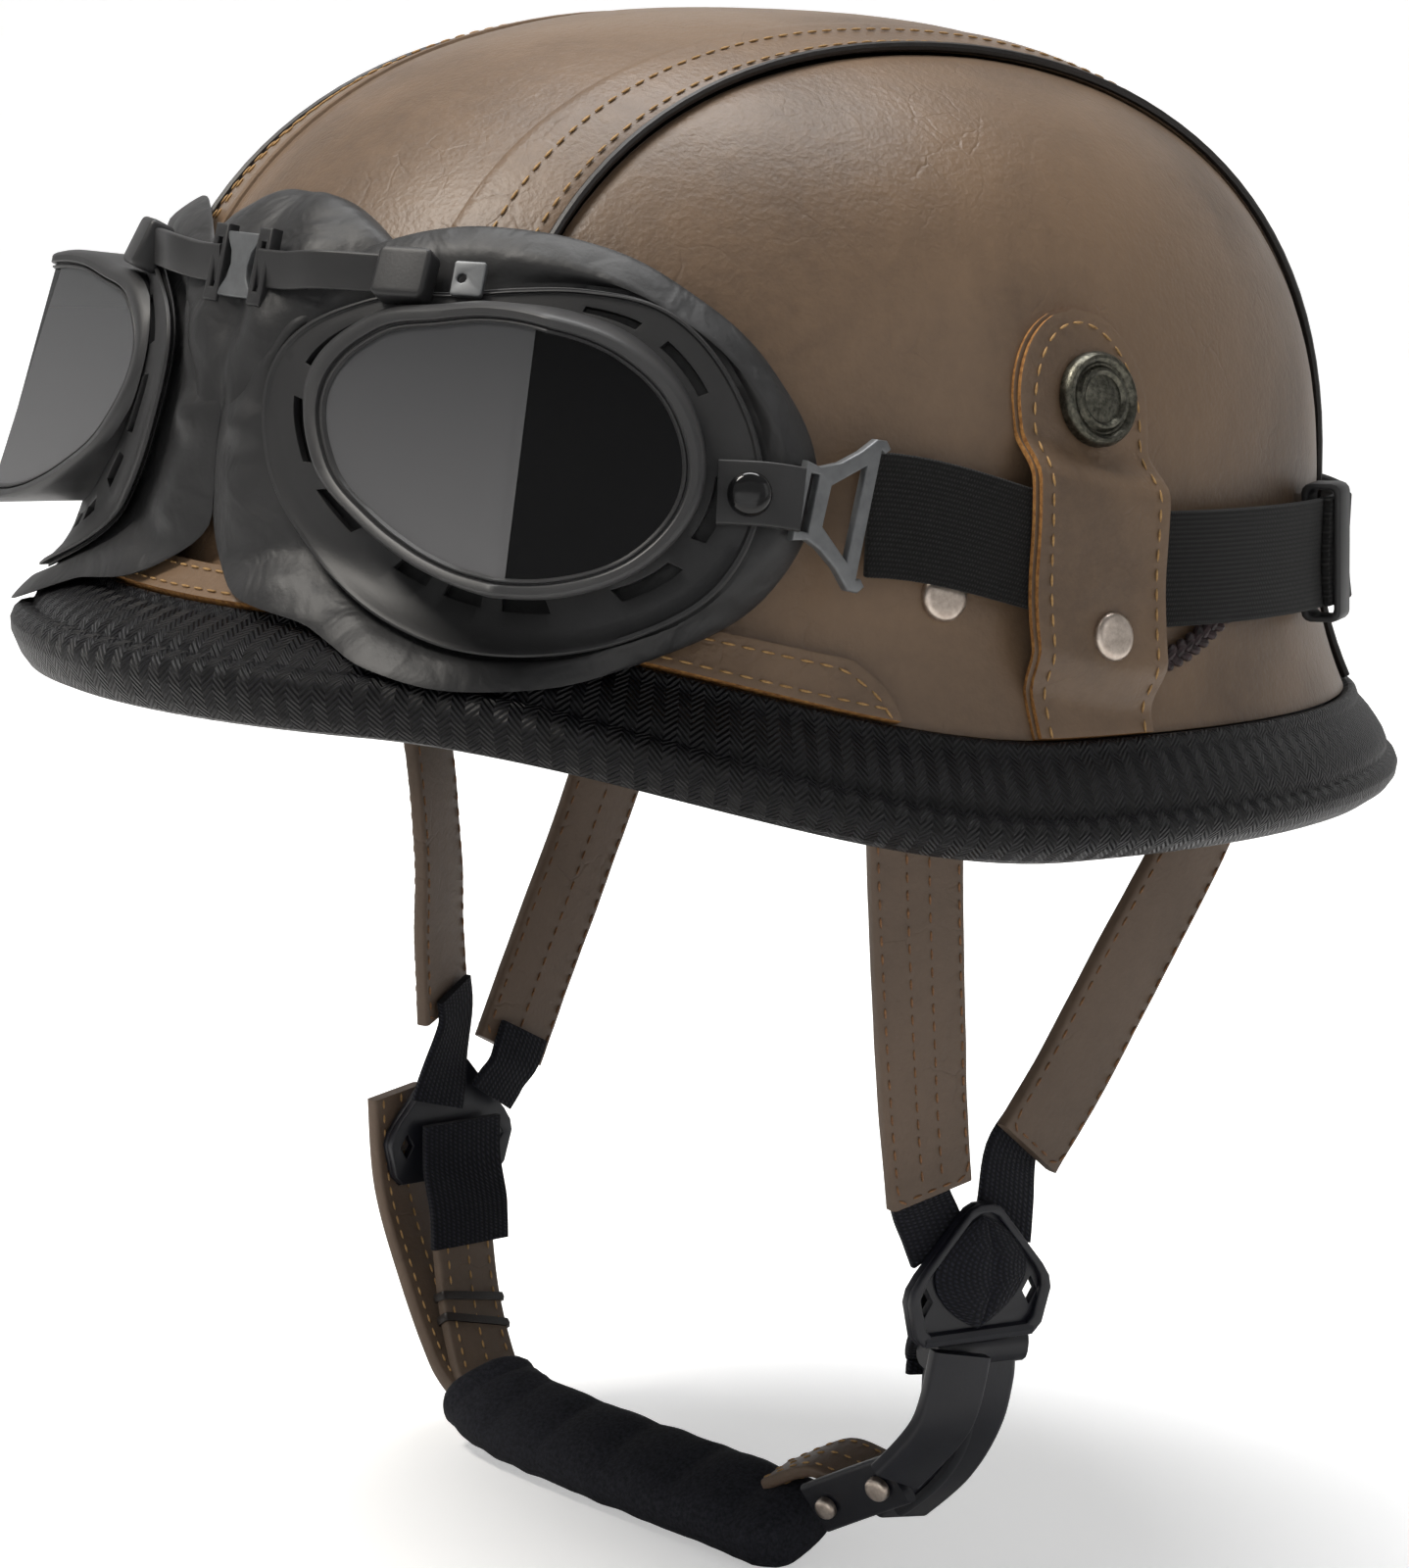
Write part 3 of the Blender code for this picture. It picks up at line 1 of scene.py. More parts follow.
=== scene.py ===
# %% [markdown]
# # A half shell motorcycle helmet
#
# The helmet is a moulded cap covered in waxed brown leather. A woven look rubber trim closes
# its rim, a pair of split lens goggles sits on its brow, and a padded strap goes under the chin.
# The solids in the frame fix every size and place. This script gives them their real surfaces.

# %% Load the frame
import math

import bmesh
import bpy
from mathutils import Matrix, Vector, noise


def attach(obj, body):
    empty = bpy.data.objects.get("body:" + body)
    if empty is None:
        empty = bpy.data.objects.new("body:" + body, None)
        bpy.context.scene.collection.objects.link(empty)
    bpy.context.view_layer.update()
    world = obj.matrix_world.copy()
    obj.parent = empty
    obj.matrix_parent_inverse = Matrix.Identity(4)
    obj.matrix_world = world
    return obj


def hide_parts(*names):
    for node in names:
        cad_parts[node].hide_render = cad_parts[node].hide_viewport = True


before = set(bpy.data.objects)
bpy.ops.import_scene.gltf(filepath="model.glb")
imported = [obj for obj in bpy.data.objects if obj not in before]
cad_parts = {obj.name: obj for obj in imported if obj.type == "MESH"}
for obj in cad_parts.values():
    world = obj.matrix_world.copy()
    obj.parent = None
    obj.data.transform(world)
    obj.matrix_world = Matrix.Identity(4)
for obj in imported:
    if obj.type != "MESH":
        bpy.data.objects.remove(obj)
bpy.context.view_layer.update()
MM = 0.001
SIDES = (("left", 1), ("right", -1))

# %% [markdown]
# ## Camera
#
# The photograph looks at the helmet's front left corner from a long way off, and the helmet
# hangs a little tilted in it. The model stands level, so the camera carries that tilt.

# %% Camera
HEAD_SEAT = 90.2 * MM
CAMERA_PLACE = Vector((0.7313, -0.6773, 0.0097))
VIEW_BACK = Vector((0.72942, -0.66546, 0.15838))
VIEW_UP = Vector((-0.15031, 0.06994, 0.98614))
CAMERA_LENS = 113.58

view_right = VIEW_UP.cross(VIEW_BACK).normalized()
turn = Matrix((view_right, VIEW_UP, VIEW_BACK)).transposed().to_4x4()
camera_data = bpy.data.cameras.new("photo_view")
camera_data.lens = CAMERA_LENS
camera_data.sensor_fit = "VERTICAL"
camera_data.sensor_height = 36.0
camera_data.clip_start = 0.01
camera = bpy.data.objects.new("photo_view", camera_data)
camera.matrix_world = Matrix.Translation(CAMERA_PLACE) @ turn
bpy.context.scene.collection.objects.link(camera)
bpy.context.scene.camera = camera
print("camera at", tuple(round(v, 3) for v in CAMERA_PLACE))

# %% [markdown]
# ## The shell's form as a formula
#
# The leather follows one rounded form: a dome above the waist and a flared skirt below it.
# With the same formula as the solids, a finer surface lies exactly where the coarse one does,
# and a stitch or a strap can be put on it at any place.

# %% Form sizes
HALF_WIDTH = 103.7 * MM
HALF_LENGTH_FRONT = 130.9 * MM
HALF_LENGTH_BACK = 122.6 * MM
CROWN_HEIGHT = 96.8 * MM
CROWN_POWER = 2.4
FLARE_FRONT = 23.5 * MM
FLARE_SIDE = 13.0 * MM
FLARE_BACK = 20.0 * MM
DROP_FRONT = 24.5 * MM
DROP_SIDE = 48.3 * MM
DROP_BACK = 49.0 * MM
BROW_LEVEL = math.radians(24)
BROW_FALL = math.radians(58)
LEATHER = 1.3 * MM
SHELL_OUT = -2.6 * MM
SHELL_IN = -6.6 * MM
TRIM_LEG = 16.0 * MM


# %% Form functions
def blend(start, end, share):
    return start + (end - start) * share


def ease(share):
    share = min(1.0, max(0.0, share))
    return share * share * (3.0 - 2.0 * share)


def half_length(sine):
    return HALF_LENGTH_FRONT if sine < 0 else HALF_LENGTH_BACK


def from_front(around):
    angle = (around + math.pi / 2) % (2 * math.pi)
    return min(angle, 2 * math.pi - angle)


def rim_drop(around):
    angle = from_front(around)
    level = blend(DROP_FRONT, DROP_SIDE, ease((angle - BROW_LEVEL) / BROW_FALL))
    return blend(level, DROP_BACK, ease((angle - math.pi / 2) / (math.pi / 2)))


def rim_flare(around):
    end = FLARE_FRONT if math.sin(around) < 0 else FLARE_BACK
    return blend(FLARE_SIDE, end, math.sin(around) ** 2)


def flare_length(around):
    return math.hypot(rim_drop(around), 1.7 * rim_flare(around))


def dome_point(share_x, share_y, proud=0.0):
    """A point of the crown, from its place in plan as shares of the half width and length."""
    reach = min(1.0, math.hypot(share_x, share_y))
    height = (1.0 - reach**CROWN_POWER) ** (1.0 / CROWN_POWER)
    x = (HALF_WIDTH + proud) * share_x
    y = (half_length(share_y) + proud) * share_y
    return Vector((x, y, (CROWN_HEIGHT + proud) * height - HEAD_SEAT))


def flare_point(around, down, proud=0.0):
    """A point of the skirt; down runs from 0 at the waist to 1 at the shell's edge."""
    outward = Vector((math.cos(around), math.sin(around), 0.0))
    drop = rim_drop(around)
    flare = rim_flare(around)
    inner = min(down, 1.0)
    waist = Vector((HALF_WIDTH * outward.x, half_length(outward.y) * outward.y, -HEAD_SEAT))
    slope = Vector((2.0 * flare * inner, -drop))
    point = waist + outward * (flare * inner**2) - Vector((0, 0, drop * inner))
    if down > 1.0:
        point += (outward * slope.x + Vector((0, 0, slope.y))) * (down - 1.0)
    slope.normalize()
    return point + (outward * -slope.y + Vector((0.0, 0.0, slope.x))) * proud


def trim_top(around):
    return 1.0 - TRIM_LEG / flare_length(around)


def leather_foot(around):
    return trim_top(around) - 0.5 * MM / flare_length(around)


def skin_point(around, z, proud=0.0):
    """The point of the outside in a direction, at a height above the waist."""
    if z < 0:
        return flare_point(around, -z / rim_drop(around), proud)
    reach = (1.0 - min(1.0, z / CROWN_HEIGHT) ** CROWN_POWER) ** (1.0 / CROWN_POWER)
    return dome_point(reach * math.cos(around), reach * math.sin(around), proud)


def side_turn(y, z):
    around = math.asin(max(-1.0, min(1.0, y / half_length(y))))
    for _ in range(8):
        around += (y - skin_point(around, z).y) / half_length(y)
    return around


def side_point(side, y, z, proud=0.0):
    point = skin_point(side_turn(y, z), z, proud)
    return Vector((side * point.x, point.y, point.z))


def side_normal(side, y, z):
    step = 1.0 * MM
    along = side_point(side, y + step, z) - side_point(side, y - step, z)
    up = side_point(side, y, z + step) - side_point(side, y, z - step)
    normal = along.cross(up).normalized()
    return normal if normal.x * side > 0 else -normal


front_of_waist = flare_point(-math.pi / 2, 0).y
print("crown at", round(dome_point(0, 0).z, 4), "front of the waist at", round(front_of_waist, 4))

# %% [markdown]
# ## Colours and nodes
#
# Colours are given as the hex codes that a colour picker shows, and one function turns them to
# the linear values that a shader works in. One more function adds a node and wires it.

# %% Colour and node helpers
def linear(code):
    """An sRGB hex code as a linear colour with full alpha."""
    shares = [int(code[i : i + 2], 16) / 255 for i in (1, 3, 5)]
    curve = [s / 12.92 if s <= 0.04045 else ((s + 0.055) / 1.055) ** 2.4 for s in shares]
    return (*curve, 1.0)


def add(tree, kind, inputs=None, out=0, stops=(), **settings):
    """Adds a node, sets it, fills or links its inputs, and gives back one of its outputs."""
    node = tree.nodes.new(kind)
    for key, value in settings.items():
        setattr(node, key, value)
    for key, value in (inputs or {}).items():
        if isinstance(value, bpy.types.NodeSocket):
            tree.links.new(value, node.inputs[key])
        else:
            node.inputs[key].default_value = value
    for index, (place, code) in enumerate(stops):
        node.color_ramp.elements[index].position = place
        node.color_ramp.elements[index].color = linear(code)
    return node.outputs[out]


COORDS, NOISE, CELLS = "ShaderNodeTexCoord", "ShaderNodeTexNoise", "ShaderNodeTexVoronoi"
MATH, MIX, RAMP, RANGE = "ShaderNodeMath", "ShaderNodeMix", "ShaderNodeValToRGB", "ShaderNodeMapRange"


def start_material(name, roughness, metallic=0.0, specular=0.5):
    """A new material with its shader's plain numbers set, and its object coordinates."""
    material = bpy.data.materials.new(name)
    material.use_nodes = True
    tree = material.node_tree
    shader = tree.nodes["Principled BSDF"]
    shader.inputs["Roughness"].default_value = roughness
    shader.inputs["Metallic"].default_value = metallic
    shader.inputs["Specular IOR Level"].default_value = specular
    return material, tree, shader, add(tree, COORDS, out="Object")


def set_bump(tree, shader, layers):
    """Stacks height layers: pairs of a height socket and the real depth in metres."""
    normal = None
    for height, depth in layers:
        inputs = {"Height": height, "Distance": depth, "Strength": 1.0}
        if normal:
            inputs["Normal"] = normal
        normal = add(tree, "ShaderNodeBump", inputs)
    tree.links.new(normal, shader.inputs["Normal"])


# %% [markdown]
# ## Leather
#
# The cover is oiled, waxed cowhide. Its colour is patchy, because the wax gathers in some places
# and is rubbed thin in others. Close up it shows a pebbled grain, and here and there a fine
# crease from when it was stretched over the dome. The straps are the same hide, darker.

# %% Creases in leather
def crease_lines(tree, place, size, width):
    """Thin lines along the edges of bent cells, faded out over most of the hide."""
    bend = add(tree, NOISE, {"Vector": place, "Scale": 0.7 / size, "Detail": 3.0}, out="Color")
    shift = add(tree, "ShaderNodeVectorMath", {0: bend, 1: (size, size, size)}, operation="MULTIPLY")
    moved = add(tree, "ShaderNodeVectorMath", {0: place, 1: shift}, operation="ADD")
    edge = add(tree, CELLS, {"Vector": moved, "Scale": 1.0 / size}, feature="DISTANCE_TO_EDGE")
    line = add(tree, RANGE, {0: edge, 1: 0.0, 2: width, 3: 1.0, 4: 0.0})
    patch = add(tree, NOISE, {"Vector": place, "Scale": 0.5 / size, "Detail": 2.0})
    kept = add(tree, RANGE, {0: patch, 1: 0.53, 2: 0.66, 3: 0.0, 4: 1.0})
    return add(tree, MATH, {0: line, 1: kept}, operation="MULTIPLY")


# %% Leather, cut edge and thread
def leather_material(name, dark, middle, light, roughness, crease):
    """Waxed hide: a soft, broken shine, cloudy colour, and fine creases whose bottoms carry painted shade.
    """
    material, tree, shader, place = start_material(name, roughness, specular=0.4)
    clouds = add(tree, NOISE, {"Vector": place, "Scale": 1 / (62 * MM), "Detail": 4.0, "Distortion": 0.5})
    flecks = add(tree, NOISE, {"Vector": place, "Scale": 1 / (3.2 * MM), "Detail": 5.0, "Roughness": 0.7})
    base = add(tree, RAMP, {0: clouds}, stops=((0.34, dark), (0.6, middle)))
    rubbed = add(tree, MATH, {0: flecks, 1: 0.5}, operation="MULTIPLY")
    colour = add(tree, MIX, {0: rubbed, 6: base, 7: linear(light)}, out=2, data_type="RGBA")
    lines = crease_lines(tree, place, 8 * MM, 0.05)
    # Painted shade: the crease lines pull the colour towards the dark tone, as shade in their bottoms.
    shade = add(tree, MATH, {0: lines, 1: 0.1}, operation="MULTIPLY")
    colour = add(tree, MIX, {0: shade, 6: colour, 7: linear(dark)}, out=2, data_type="RGBA")
    tree.links.new(colour, shader.inputs["Base Color"])
    gloss = add(tree, RANGE, {0: clouds, 1: 0.3, 2: 0.7, 3: roughness + 0.07, 4: roughness - 0.05})
    tree.links.new(gloss, shader.inputs["Roughness"])
    pebbles = add(tree, CELLS, {"Vector": place, "Scale": 1 / (1.1 * MM)})
    sunk = add(tree, MATH, {0: lines, 1: -1.0}, operation="MULTIPLY")
    set_bump(tree, shader, [(pebbles, 0.05 * MM), (flecks, 0.2 * MM), (sunk, crease)])
    return material


def fibre_material(name, low, high, size, depth, roughness):
    """Bare fibre, such as a cut edge or a waxed thread: dull, and lighter than the face."""
    material, tree, shader, place = start_material(name, roughness, specular=0.25)
    fibre = add(tree, NOISE, {"Vector": place, "Scale": 1 / size, "Detail": 4.0, "Roughness": 0.7})
    colour = add(tree, RAMP, {0: fibre}, stops=((0.35, low), (0.65, high)))
    tree.links.new(colour, shader.inputs["Base Color"])
    set_bump(tree, shader, [(fibre, depth)])
    return material


LEATHER_HIDE = leather_material("waxed_cowhide", "#4c3d31", "#6d5947", "#836b53", 0.38, 0.05 * MM)
STRAP_HIDE = leather_material("strap_cowhide", "#44392f", "#5b4b3e", "#6b594a", 0.6, 0.08 * MM)
RAW_EDGE = fibre_material("cut_leather_edge", "#6e4827", "#a67843", 1.2 * MM, 0.2 * MM, 0.85)
THREAD = fibre_material("tan_waxed_thread", "#8a6a42", "#b39060", 0.9 * MM, 0.1 * MM, 0.6)
STRAP_THREAD = fibre_material("brown_waxed_thread", "#5a3f2c", "#86603f", 0.9 * MM, 0.1 * MM, 0.6)
print("leather, cut edge and thread made")

# %% [markdown]
# ## Rubber, plastic, metal and cloth
#
# Each of these starts from its real base: moulded rubber with an embossed weave, matte moulded
# plastic, satin grey zinc, nickel, ribbed elastic, and flat webbing. A pattern that runs along a
# piece reads its UV map, which is in metres, so a rib keeps its real width all the way round.

# %% Embossed rubber
HERRING_COLUMN = 2.5 * MM
HERRING_RIB = 1.3 * MM


def waves(tree, along, pitch):
    """A smooth wave between 0 and 1 along a length in metres."""
    turns = add(tree, MATH, {0: along, 1: 2 * math.pi / pitch}, operation="MULTIPLY")
    swing = add(tree, MATH, {0: turns}, operation="SINE")
    return add(tree, MATH, {0: swing, 1: 0.5, 2: 0.5}, operation="MULTIPLY_ADD")


def trim_material():
    """Rubber edging embossed with a herringbone, whose rib tops and knots are painted paler as a highlight.
    """
    material, tree, shader, place = start_material("herringbone_rubber", 0.42, specular=0.22)
    metres = add(tree, COORDS, out="UV")
    along = add(tree, "ShaderNodeSeparateXYZ", {0: metres}, out=0)
    across = add(tree, "ShaderNodeSeparateXYZ", {0: metres}, out=1)
    lean = add(tree, MATH, {0: along, 1: HERRING_COLUMN}, operation="PINGPONG")
    slanted = add(tree, MATH, {0: across, 1: lean}, operation="ADD")
    ribs = waves(tree, slanted, HERRING_RIB)
    knots = add(tree, NOISE, {"Vector": place, "Scale": 1 / (4.5 * MM), "Detail": 3.0, "Roughness": 0.6})
    # Painted highlight: where a rib top meets a knot, the colour goes paler, as light catching the raised
    # weave.
    painted_rib_highlight = add(tree, MATH, {0: ribs, 1: knots}, operation="MULTIPLY")
    colour = add(tree, RAMP, {0: painted_rib_highlight}, stops=((0.2, "#030304"), (0.62, "#141318")))
    tree.links.new(colour, shader.inputs["Base Color"])
    set_bump(tree, shader, [(knots, 0.5 * MM), (ribs, 0.3 * MM)])
    return material


# %% Moulded plastic, soft cover and lenses
def plastic_material(name, low, high, roughness, grain=0.02 * MM, specular=0.4):
    """Moulded plastic with a fine spark eroded grain that dulls its shine."""
    material, tree, shader, place = start_material(name, roughness, specular=specular)
    patches = add(tree, NOISE, {"Vector": place, "Scale": 1 / (22 * MM), "Detail": 2.0})
    colour = add(tree, RAMP, {0: patches}, stops=((0.3, low), (0.7, high)))
    tree.links.new(colour, shader.inputs["Base Color"])
    specks = add(tree, NOISE, {"Vector": place, "Scale": 1 / (0.6 * MM), "Detail": 2.0})
    set_bump(tree, shader, [(specks, grain)])
    return material


def cushion_material():
    """Black leatherette over foam: soft ripples, a fine skin grain and a low sheen."""
    material, tree, shader, place = start_material("foam_backed_leatherette", 0.48, specular=0.36)
    patches = add(tree, NOISE, {"Vector": place, "Scale": 1 / (30 * MM), "Detail": 3.0})
    colour = add(tree, RAMP, {0: patches}, stops=((0.3, "#1d1d1e"), (0.7, "#2d2d2e")))
    tree.links.new(colour, shader.inputs["Base Color"])
    ripples = add(tree, NOISE, {"Vector": place, "Scale": 1 / (13 * MM), "Detail": 2.0, "Distortion": 1.2})
    grain = add(tree, NOISE, {"Vector": place, "Scale": 1 / (0.9 * MM), "Detail": 3.0})
    set_bump(tree, shader, [(ripples, 0.9 * MM), (grain, 0.05 * MM)])
    return material


def lens_material(name, low, high, roughness, specular):
    """Smoke polycarbonate sheet, darker towards its top edge; on the front pane the grey and its grading are
    partly the smoke tint and partly a painted reflection.
    """
    material, tree, shader, place = start_material(name, roughness, specular=specular)
    height = add(tree, "ShaderNodeSeparateXYZ", {0: place}, out=2)
    share = add(tree, RANGE, {0: height, 1: -96 * MM, 2: -46 * MM, 3: 0.0, 4: 1.0})
    colour = add(tree, RAMP, {0: share}, stops=((0.0, low), (1.0, high)))
    tree.links.new(colour, shader.inputs["Base Color"])
    return material


# %% Metal and cloth
def metal_material(name, low, high, roughness, size, depth, metallic=1.0):
    """Metal whose tumbled or brushed finish breaks its shine into small patches."""
    material, tree, shader, place = start_material(name, roughness, metallic)
    patches = add(tree, NOISE, {"Vector": place, "Scale": 1 / size, "Detail": 4.0, "Roughness": 0.65})
    colour = add(tree, RAMP, {0: patches}, stops=((0.35, low), (0.65, high)))
    tree.links.new(colour, shader.inputs["Base Color"])
    set_bump(tree, shader, [(patches, depth)])
    return material


def woven_material(name, low, high, rib, depth, roughness=0.85):
    """Woven tape: ribs along its length, crossed by finer ones, with a little fuzz."""
    material, tree, shader, place = start_material(name, roughness, specular=0.2)
    metres = add(tree, COORDS, out="UV")
    along = add(tree, "ShaderNodeSeparateXYZ", {0: metres}, out=0)
    across = add(tree, "ShaderNodeSeparateXYZ", {0: metres}, out=1)
    slanted = add(tree, MATH, {0: across, 1: 0.5, 2: along}, operation="MULTIPLY_ADD")
    ribs = waves(tree, across, rib)
    picks = waves(tree, slanted, rib * 0.7)
    weave = add(tree, MATH, {0: ribs, 1: picks}, operation="MULTIPLY")
    fuzz = add(tree, NOISE, {"Vector": place, "Scale": 1 / (1.0 * MM), "Detail": 3.0, "Roughness": 0.7})
    tone = add(tree, MATH, {0: weave, 1: fuzz}, operation="MULTIPLY")
    colour = add(tree, RAMP, {0: tone}, stops=((0.05, low), (0.5, high)))
    tree.links.new(colour, shader.inputs["Base Color"])
    shader.inputs["Sheen Weight"].default_value = 0.06
    set_bump(tree, shader, [(weave, depth), (fuzz, depth * 0.6)])
    return material


# %% Every other finish
TRIM_RUBBER = trim_material()
FLANGE_ABS = plastic_material("matte_moulded_abs", "#222223", "#2a2a2b", 0.47)
RIM_ABS = plastic_material("soft_touch_abs", "#2d2d2e", "#373738", 0.43)
GLOSS_ABS = plastic_material("polished_black_abs", "#0d0d0e", "#141415", 0.12, 0.0)
BUCKLE_NYLON = plastic_material("buckle_nylon", "#0f1016", "#171820", 0.4)
SHELL_ABS = plastic_material("moulded_shell_abs", "#131313", "#1b1b1b", 0.55, 0.1 * MM)
PIPING_SKIN = plastic_material("black_piping_skin", "#120f0e", "#201a17", 0.45, 0.05 * MM)
CUSHION_SKIN = cushion_material()
# Painted reflection: the front pane's mid grey, paler towards the bottom, is partly its smoke tint and
# partly the reflection it shows.
FRONT_LENS = lens_material("smoke_lens_painted_reflection", "#5c5c5e", "#343537", 0.2, 0.5)
SIDE_LENS = lens_material("dark_smoke_lens", "#040405", "#020203", 0.16, 0.12)
GREY_ZINC = metal_material("satin_grey_zinc", "#5f6163", "#6f7173", 0.42, 6 * MM, 0.03 * MM, 0.5)
NICKEL = metal_material("tumbled_nickel", "#b3a59a", "#d2c6bb", 0.34, 1.6 * MM, 0.08 * MM)
OLD_BRASS = metal_material("antiqued_brass", "#3a3a34", "#66645a", 0.34, 0.9 * MM, 0.1 * MM)
CORD_LEATHER = fibre_material("oiled_black_cord", "#150f10", "#3c2e30", 1.6 * MM, 0.1 * MM, 0.5)
ELASTIC_CLOTH = woven_material("ribbed_elastic", "#0f0f0f", "#262626", 0.9 * MM, 0.12 * MM)
WEBBING_CLOTH = woven_material("polyester_webbing", "#0b0c12", "#1d1f2a", 1.3 * MM, 0.2 * MM)
SLEEVE_CLOTH = fibre_material("padded_sleeve_cloth", "#15161b", "#292a31", 0.8 * MM, 0.08 * MM, 0.9)
print(len(bpy.data.materials), "materials")

# %% [markdown]
# ## Meshes from rows of points
#
# Leather, tape and moulded edges are all surfaces swept in two directions. One helper joins rows
# of points into a mesh with a UV map in metres, and another sweeps a rounded section on a path.

# %% Mesh helpers
def surface(name, rows, wrap_along=False, wrap_across=False, cap_ends=False):
    """A mesh through rows of points, with UVs that measure its length and its width."""
    work = bmesh.new()
    layer = work.loops.layers.uv.new("metres")
    verts = [[work.verts.new(point) for point in row] for row in rows]
    middle = len(rows[0]) // 2
    lengths = [0.0]
    for one, two in zip(rows, rows[1:] + rows[:1]):
        lengths.append(lengths[-1] + (two[middle] - one[middle]).length)
    count, wide = len(rows), len(rows[0])
    for i in range(count if wrap_along else count - 1):
        widths = [0.0]
        for one, two in zip(rows[i], rows[i][1:] + rows[i][:1]):
            widths.append(widths[-1] + (two - one).length)
        for j in range(wide if wrap_across else wide - 1):
            ring = verts[i], verts[(i + 1) % count]
            corners = (ring[0][j], ring[0][(j + 1) % wide], ring[1][(j + 1) % wide], ring[1][j])
            face = work.faces.new(corners)
            spots = ((i, j), (i, j + 1), (i + 1, j + 1), (i + 1, j))
            for loop, (row, column) in zip(face.loops, spots):
                loop[layer].uv = (lengths[row], widths[column])
    if cap_ends:
        work.faces.new(reversed(verts[0]))
        work.faces.new(verts[-1])
    bmesh.ops.remove_doubles(work, verts=work.verts, dist=0.002 * MM)
    bmesh.ops.recalc_face_normals(work, faces=work.faces)
    mesh = bpy.data.meshes.new(name)
    work.to_mesh(mesh)
    work.free()
    return mesh


def volume(mesh):
    mesh.calc_loop_triangles()
    total = 0.0
    for triangle in mesh.loop_triangles:
        one, two, three = (mesh.vertices[index].co for index in triangle.vertices)
        total += one.dot(two.cross(three))
    return total


def face_away(mesh, middle):
    """Turns an open sheet so that it faces away from a point."""
    centre = Vector(middle)
    facing = sum(face.normal.dot(face.center - centre) * face.area for face in mesh.polygons)
    if facing < 0:
        mesh.flip_normals()


def shown(name, mesh, material, nodes=(), sharp=35.0):
    """Puts a piece in the scene, riding on the one body, in place of the nodes it stands for."""
    if material.name not in mesh.materials:
        mesh.materials.append(material)
    mesh.shade_smooth()
    mesh.set_sharp_from_angle(angle=math.radians(sharp))
    piece = bpy.data.objects.new(name, mesh)
    bpy.context.scene.collection.objects.link(piece)
    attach(piece, "root")
    if nodes:
        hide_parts(*nodes)
    return piece


def baked(piece):
    """Applies a piece's modifiers to its mesh."""
    bpy.context.view_layer.update()
    graph = bpy.context.evaluated_depsgraph_get()
    mesh = bpy.data.meshes.new_from_object(piece.evaluated_get(graph))
    piece.modifiers.clear()
    piece.data = mesh
    return piece


def wall(piece, thickness, offset=-1.0, edge=None):
    """Gives an open sheet its thickness, and rounds its edges where they show."""
    solid = piece.modifiers.new("wall", "SOLIDIFY")
    solid.thickness = thickness
    solid.offset = offset
    solid.use_even_offset = False
    if edge is not None:
        solid.material_offset_rim = edge
    soft = piece.modifiers.new("soft_edge", "BEVEL")
    soft.width = thickness * 0.28
    soft.segments = 2
    soft.limit_method = "ANGLE"
    soft.angle_limit = math.radians(50)
    return baked(piece)


def spline(knots, steps):
    """Points on a smooth curve through a few knots."""
    knots = [Vector(knot) for knot in knots]
    points = []
    for index in range(len(knots) - 1):
        before = knots[max(index - 1, 0)]
        one, two = knots[index], knots[index + 1]
        after = knots[min(index + 2, len(knots) - 1)]
        for step in range(steps):
            t = step / steps
            line = two - before, 2 * before - 5 * one + 4 * two - after, 3 * one - before - 3 * two + after
            points.append(0.5 * (2 * one + line[0] * t + line[1] * t**2 + line[2] * t**3))
    points.append(knots[-1])
    return points


def headings(path):
    last = len(path) - 1
    return [(path[min(i + 1, last)] - path[max(i - 1, 0)]).normalized() for i in range(last + 1)]


def frames_along(path, across):
    """For each station: its place, the direction of its width and its normal."""
    found = []
    for index, (place, ahead) in enumerate(zip(path, headings(path))):
        hint = Vector(across[index]) if isinstance(across, list) else Vector(across)
        flat = (hint - ahead * hint.dot(ahead)).normalized()
        found.append((place, flat, ahead.cross(flat).normalized()))
    return found


def rounded_section(width, height, corner, steps=3):
    """A rectangle with round corners, as (across, up) pairs."""
    corner = min(corner, width / 2, height / 2)
    points = []
    for quarter, (sx, sy) in enumerate(((1, 1), (-1, 1), (-1, -1), (1, -1))):
        for step in range(steps + 1):
            angle = math.radians(90) * (quarter + step / steps)
            x = sx * (width / 2 - corner) + corner * math.cos(angle)
            points.append((x, sy * (height / 2 - corner) + corner * math.sin(angle)))
    return points


def swept(name, path, across, sections, closed_path=False):
    """Sweeps closed sections, one for each station or one for all, along a path."""
    rows = []
    for index, (place, flat, up) in enumerate(frames_along(path, across)):
        section = sections[index] if isinstance(sections[0], list) else sections
        rows.append([place + flat * a + up * b for a, b in section])
    mesh = surface(name, rows, wrap_along=closed_path, wrap_across=True, cap_ends=not closed_path)
    if volume(mesh) < 0:
        mesh.flip_normals()
    return mesh


def turned(name, profile, place, axis, sides=40):
    """A profile of (radius, height) pairs turned about an axis."""
    turn = Vector(axis).to_track_quat("Z", "Y").to_matrix()
    rows = []
    for step in range(sides):
        angle = 2 * math.pi * step / sides
        spin = math.cos(angle), math.sin(angle)
        rows.append([place + turn @ Vector((r * spin[0], r * spin[1], h)) for r, h in profile])
    mesh = surface(name, rows, wrap_along=True)
    if volume(mesh) < 0:
        mesh.flip_normals()
    return mesh


def joined(name, meshes):
    """Several meshes as one, with their materials kept apart."""
    work = bmesh.new()
    materials = []
    for mesh in meshes:
        start = len(work.faces)
        work.from_mesh(mesh)
        work.faces.ensure_lookup_table()
        own = [material for material in mesh.materials]
        for material in own:
            if material not in materials:
                materials.append(material)
        for face in work.faces[start:]:
            face.material_index = materials.index(own[face.material_index]) if own else 0
    mesh = bpy.data.meshes.new(name)
    work.to_mesh(mesh)
    work.free()
    for material in materials:
        mesh.materials.append(material)
    return mesh


print("mesh helpers ready")

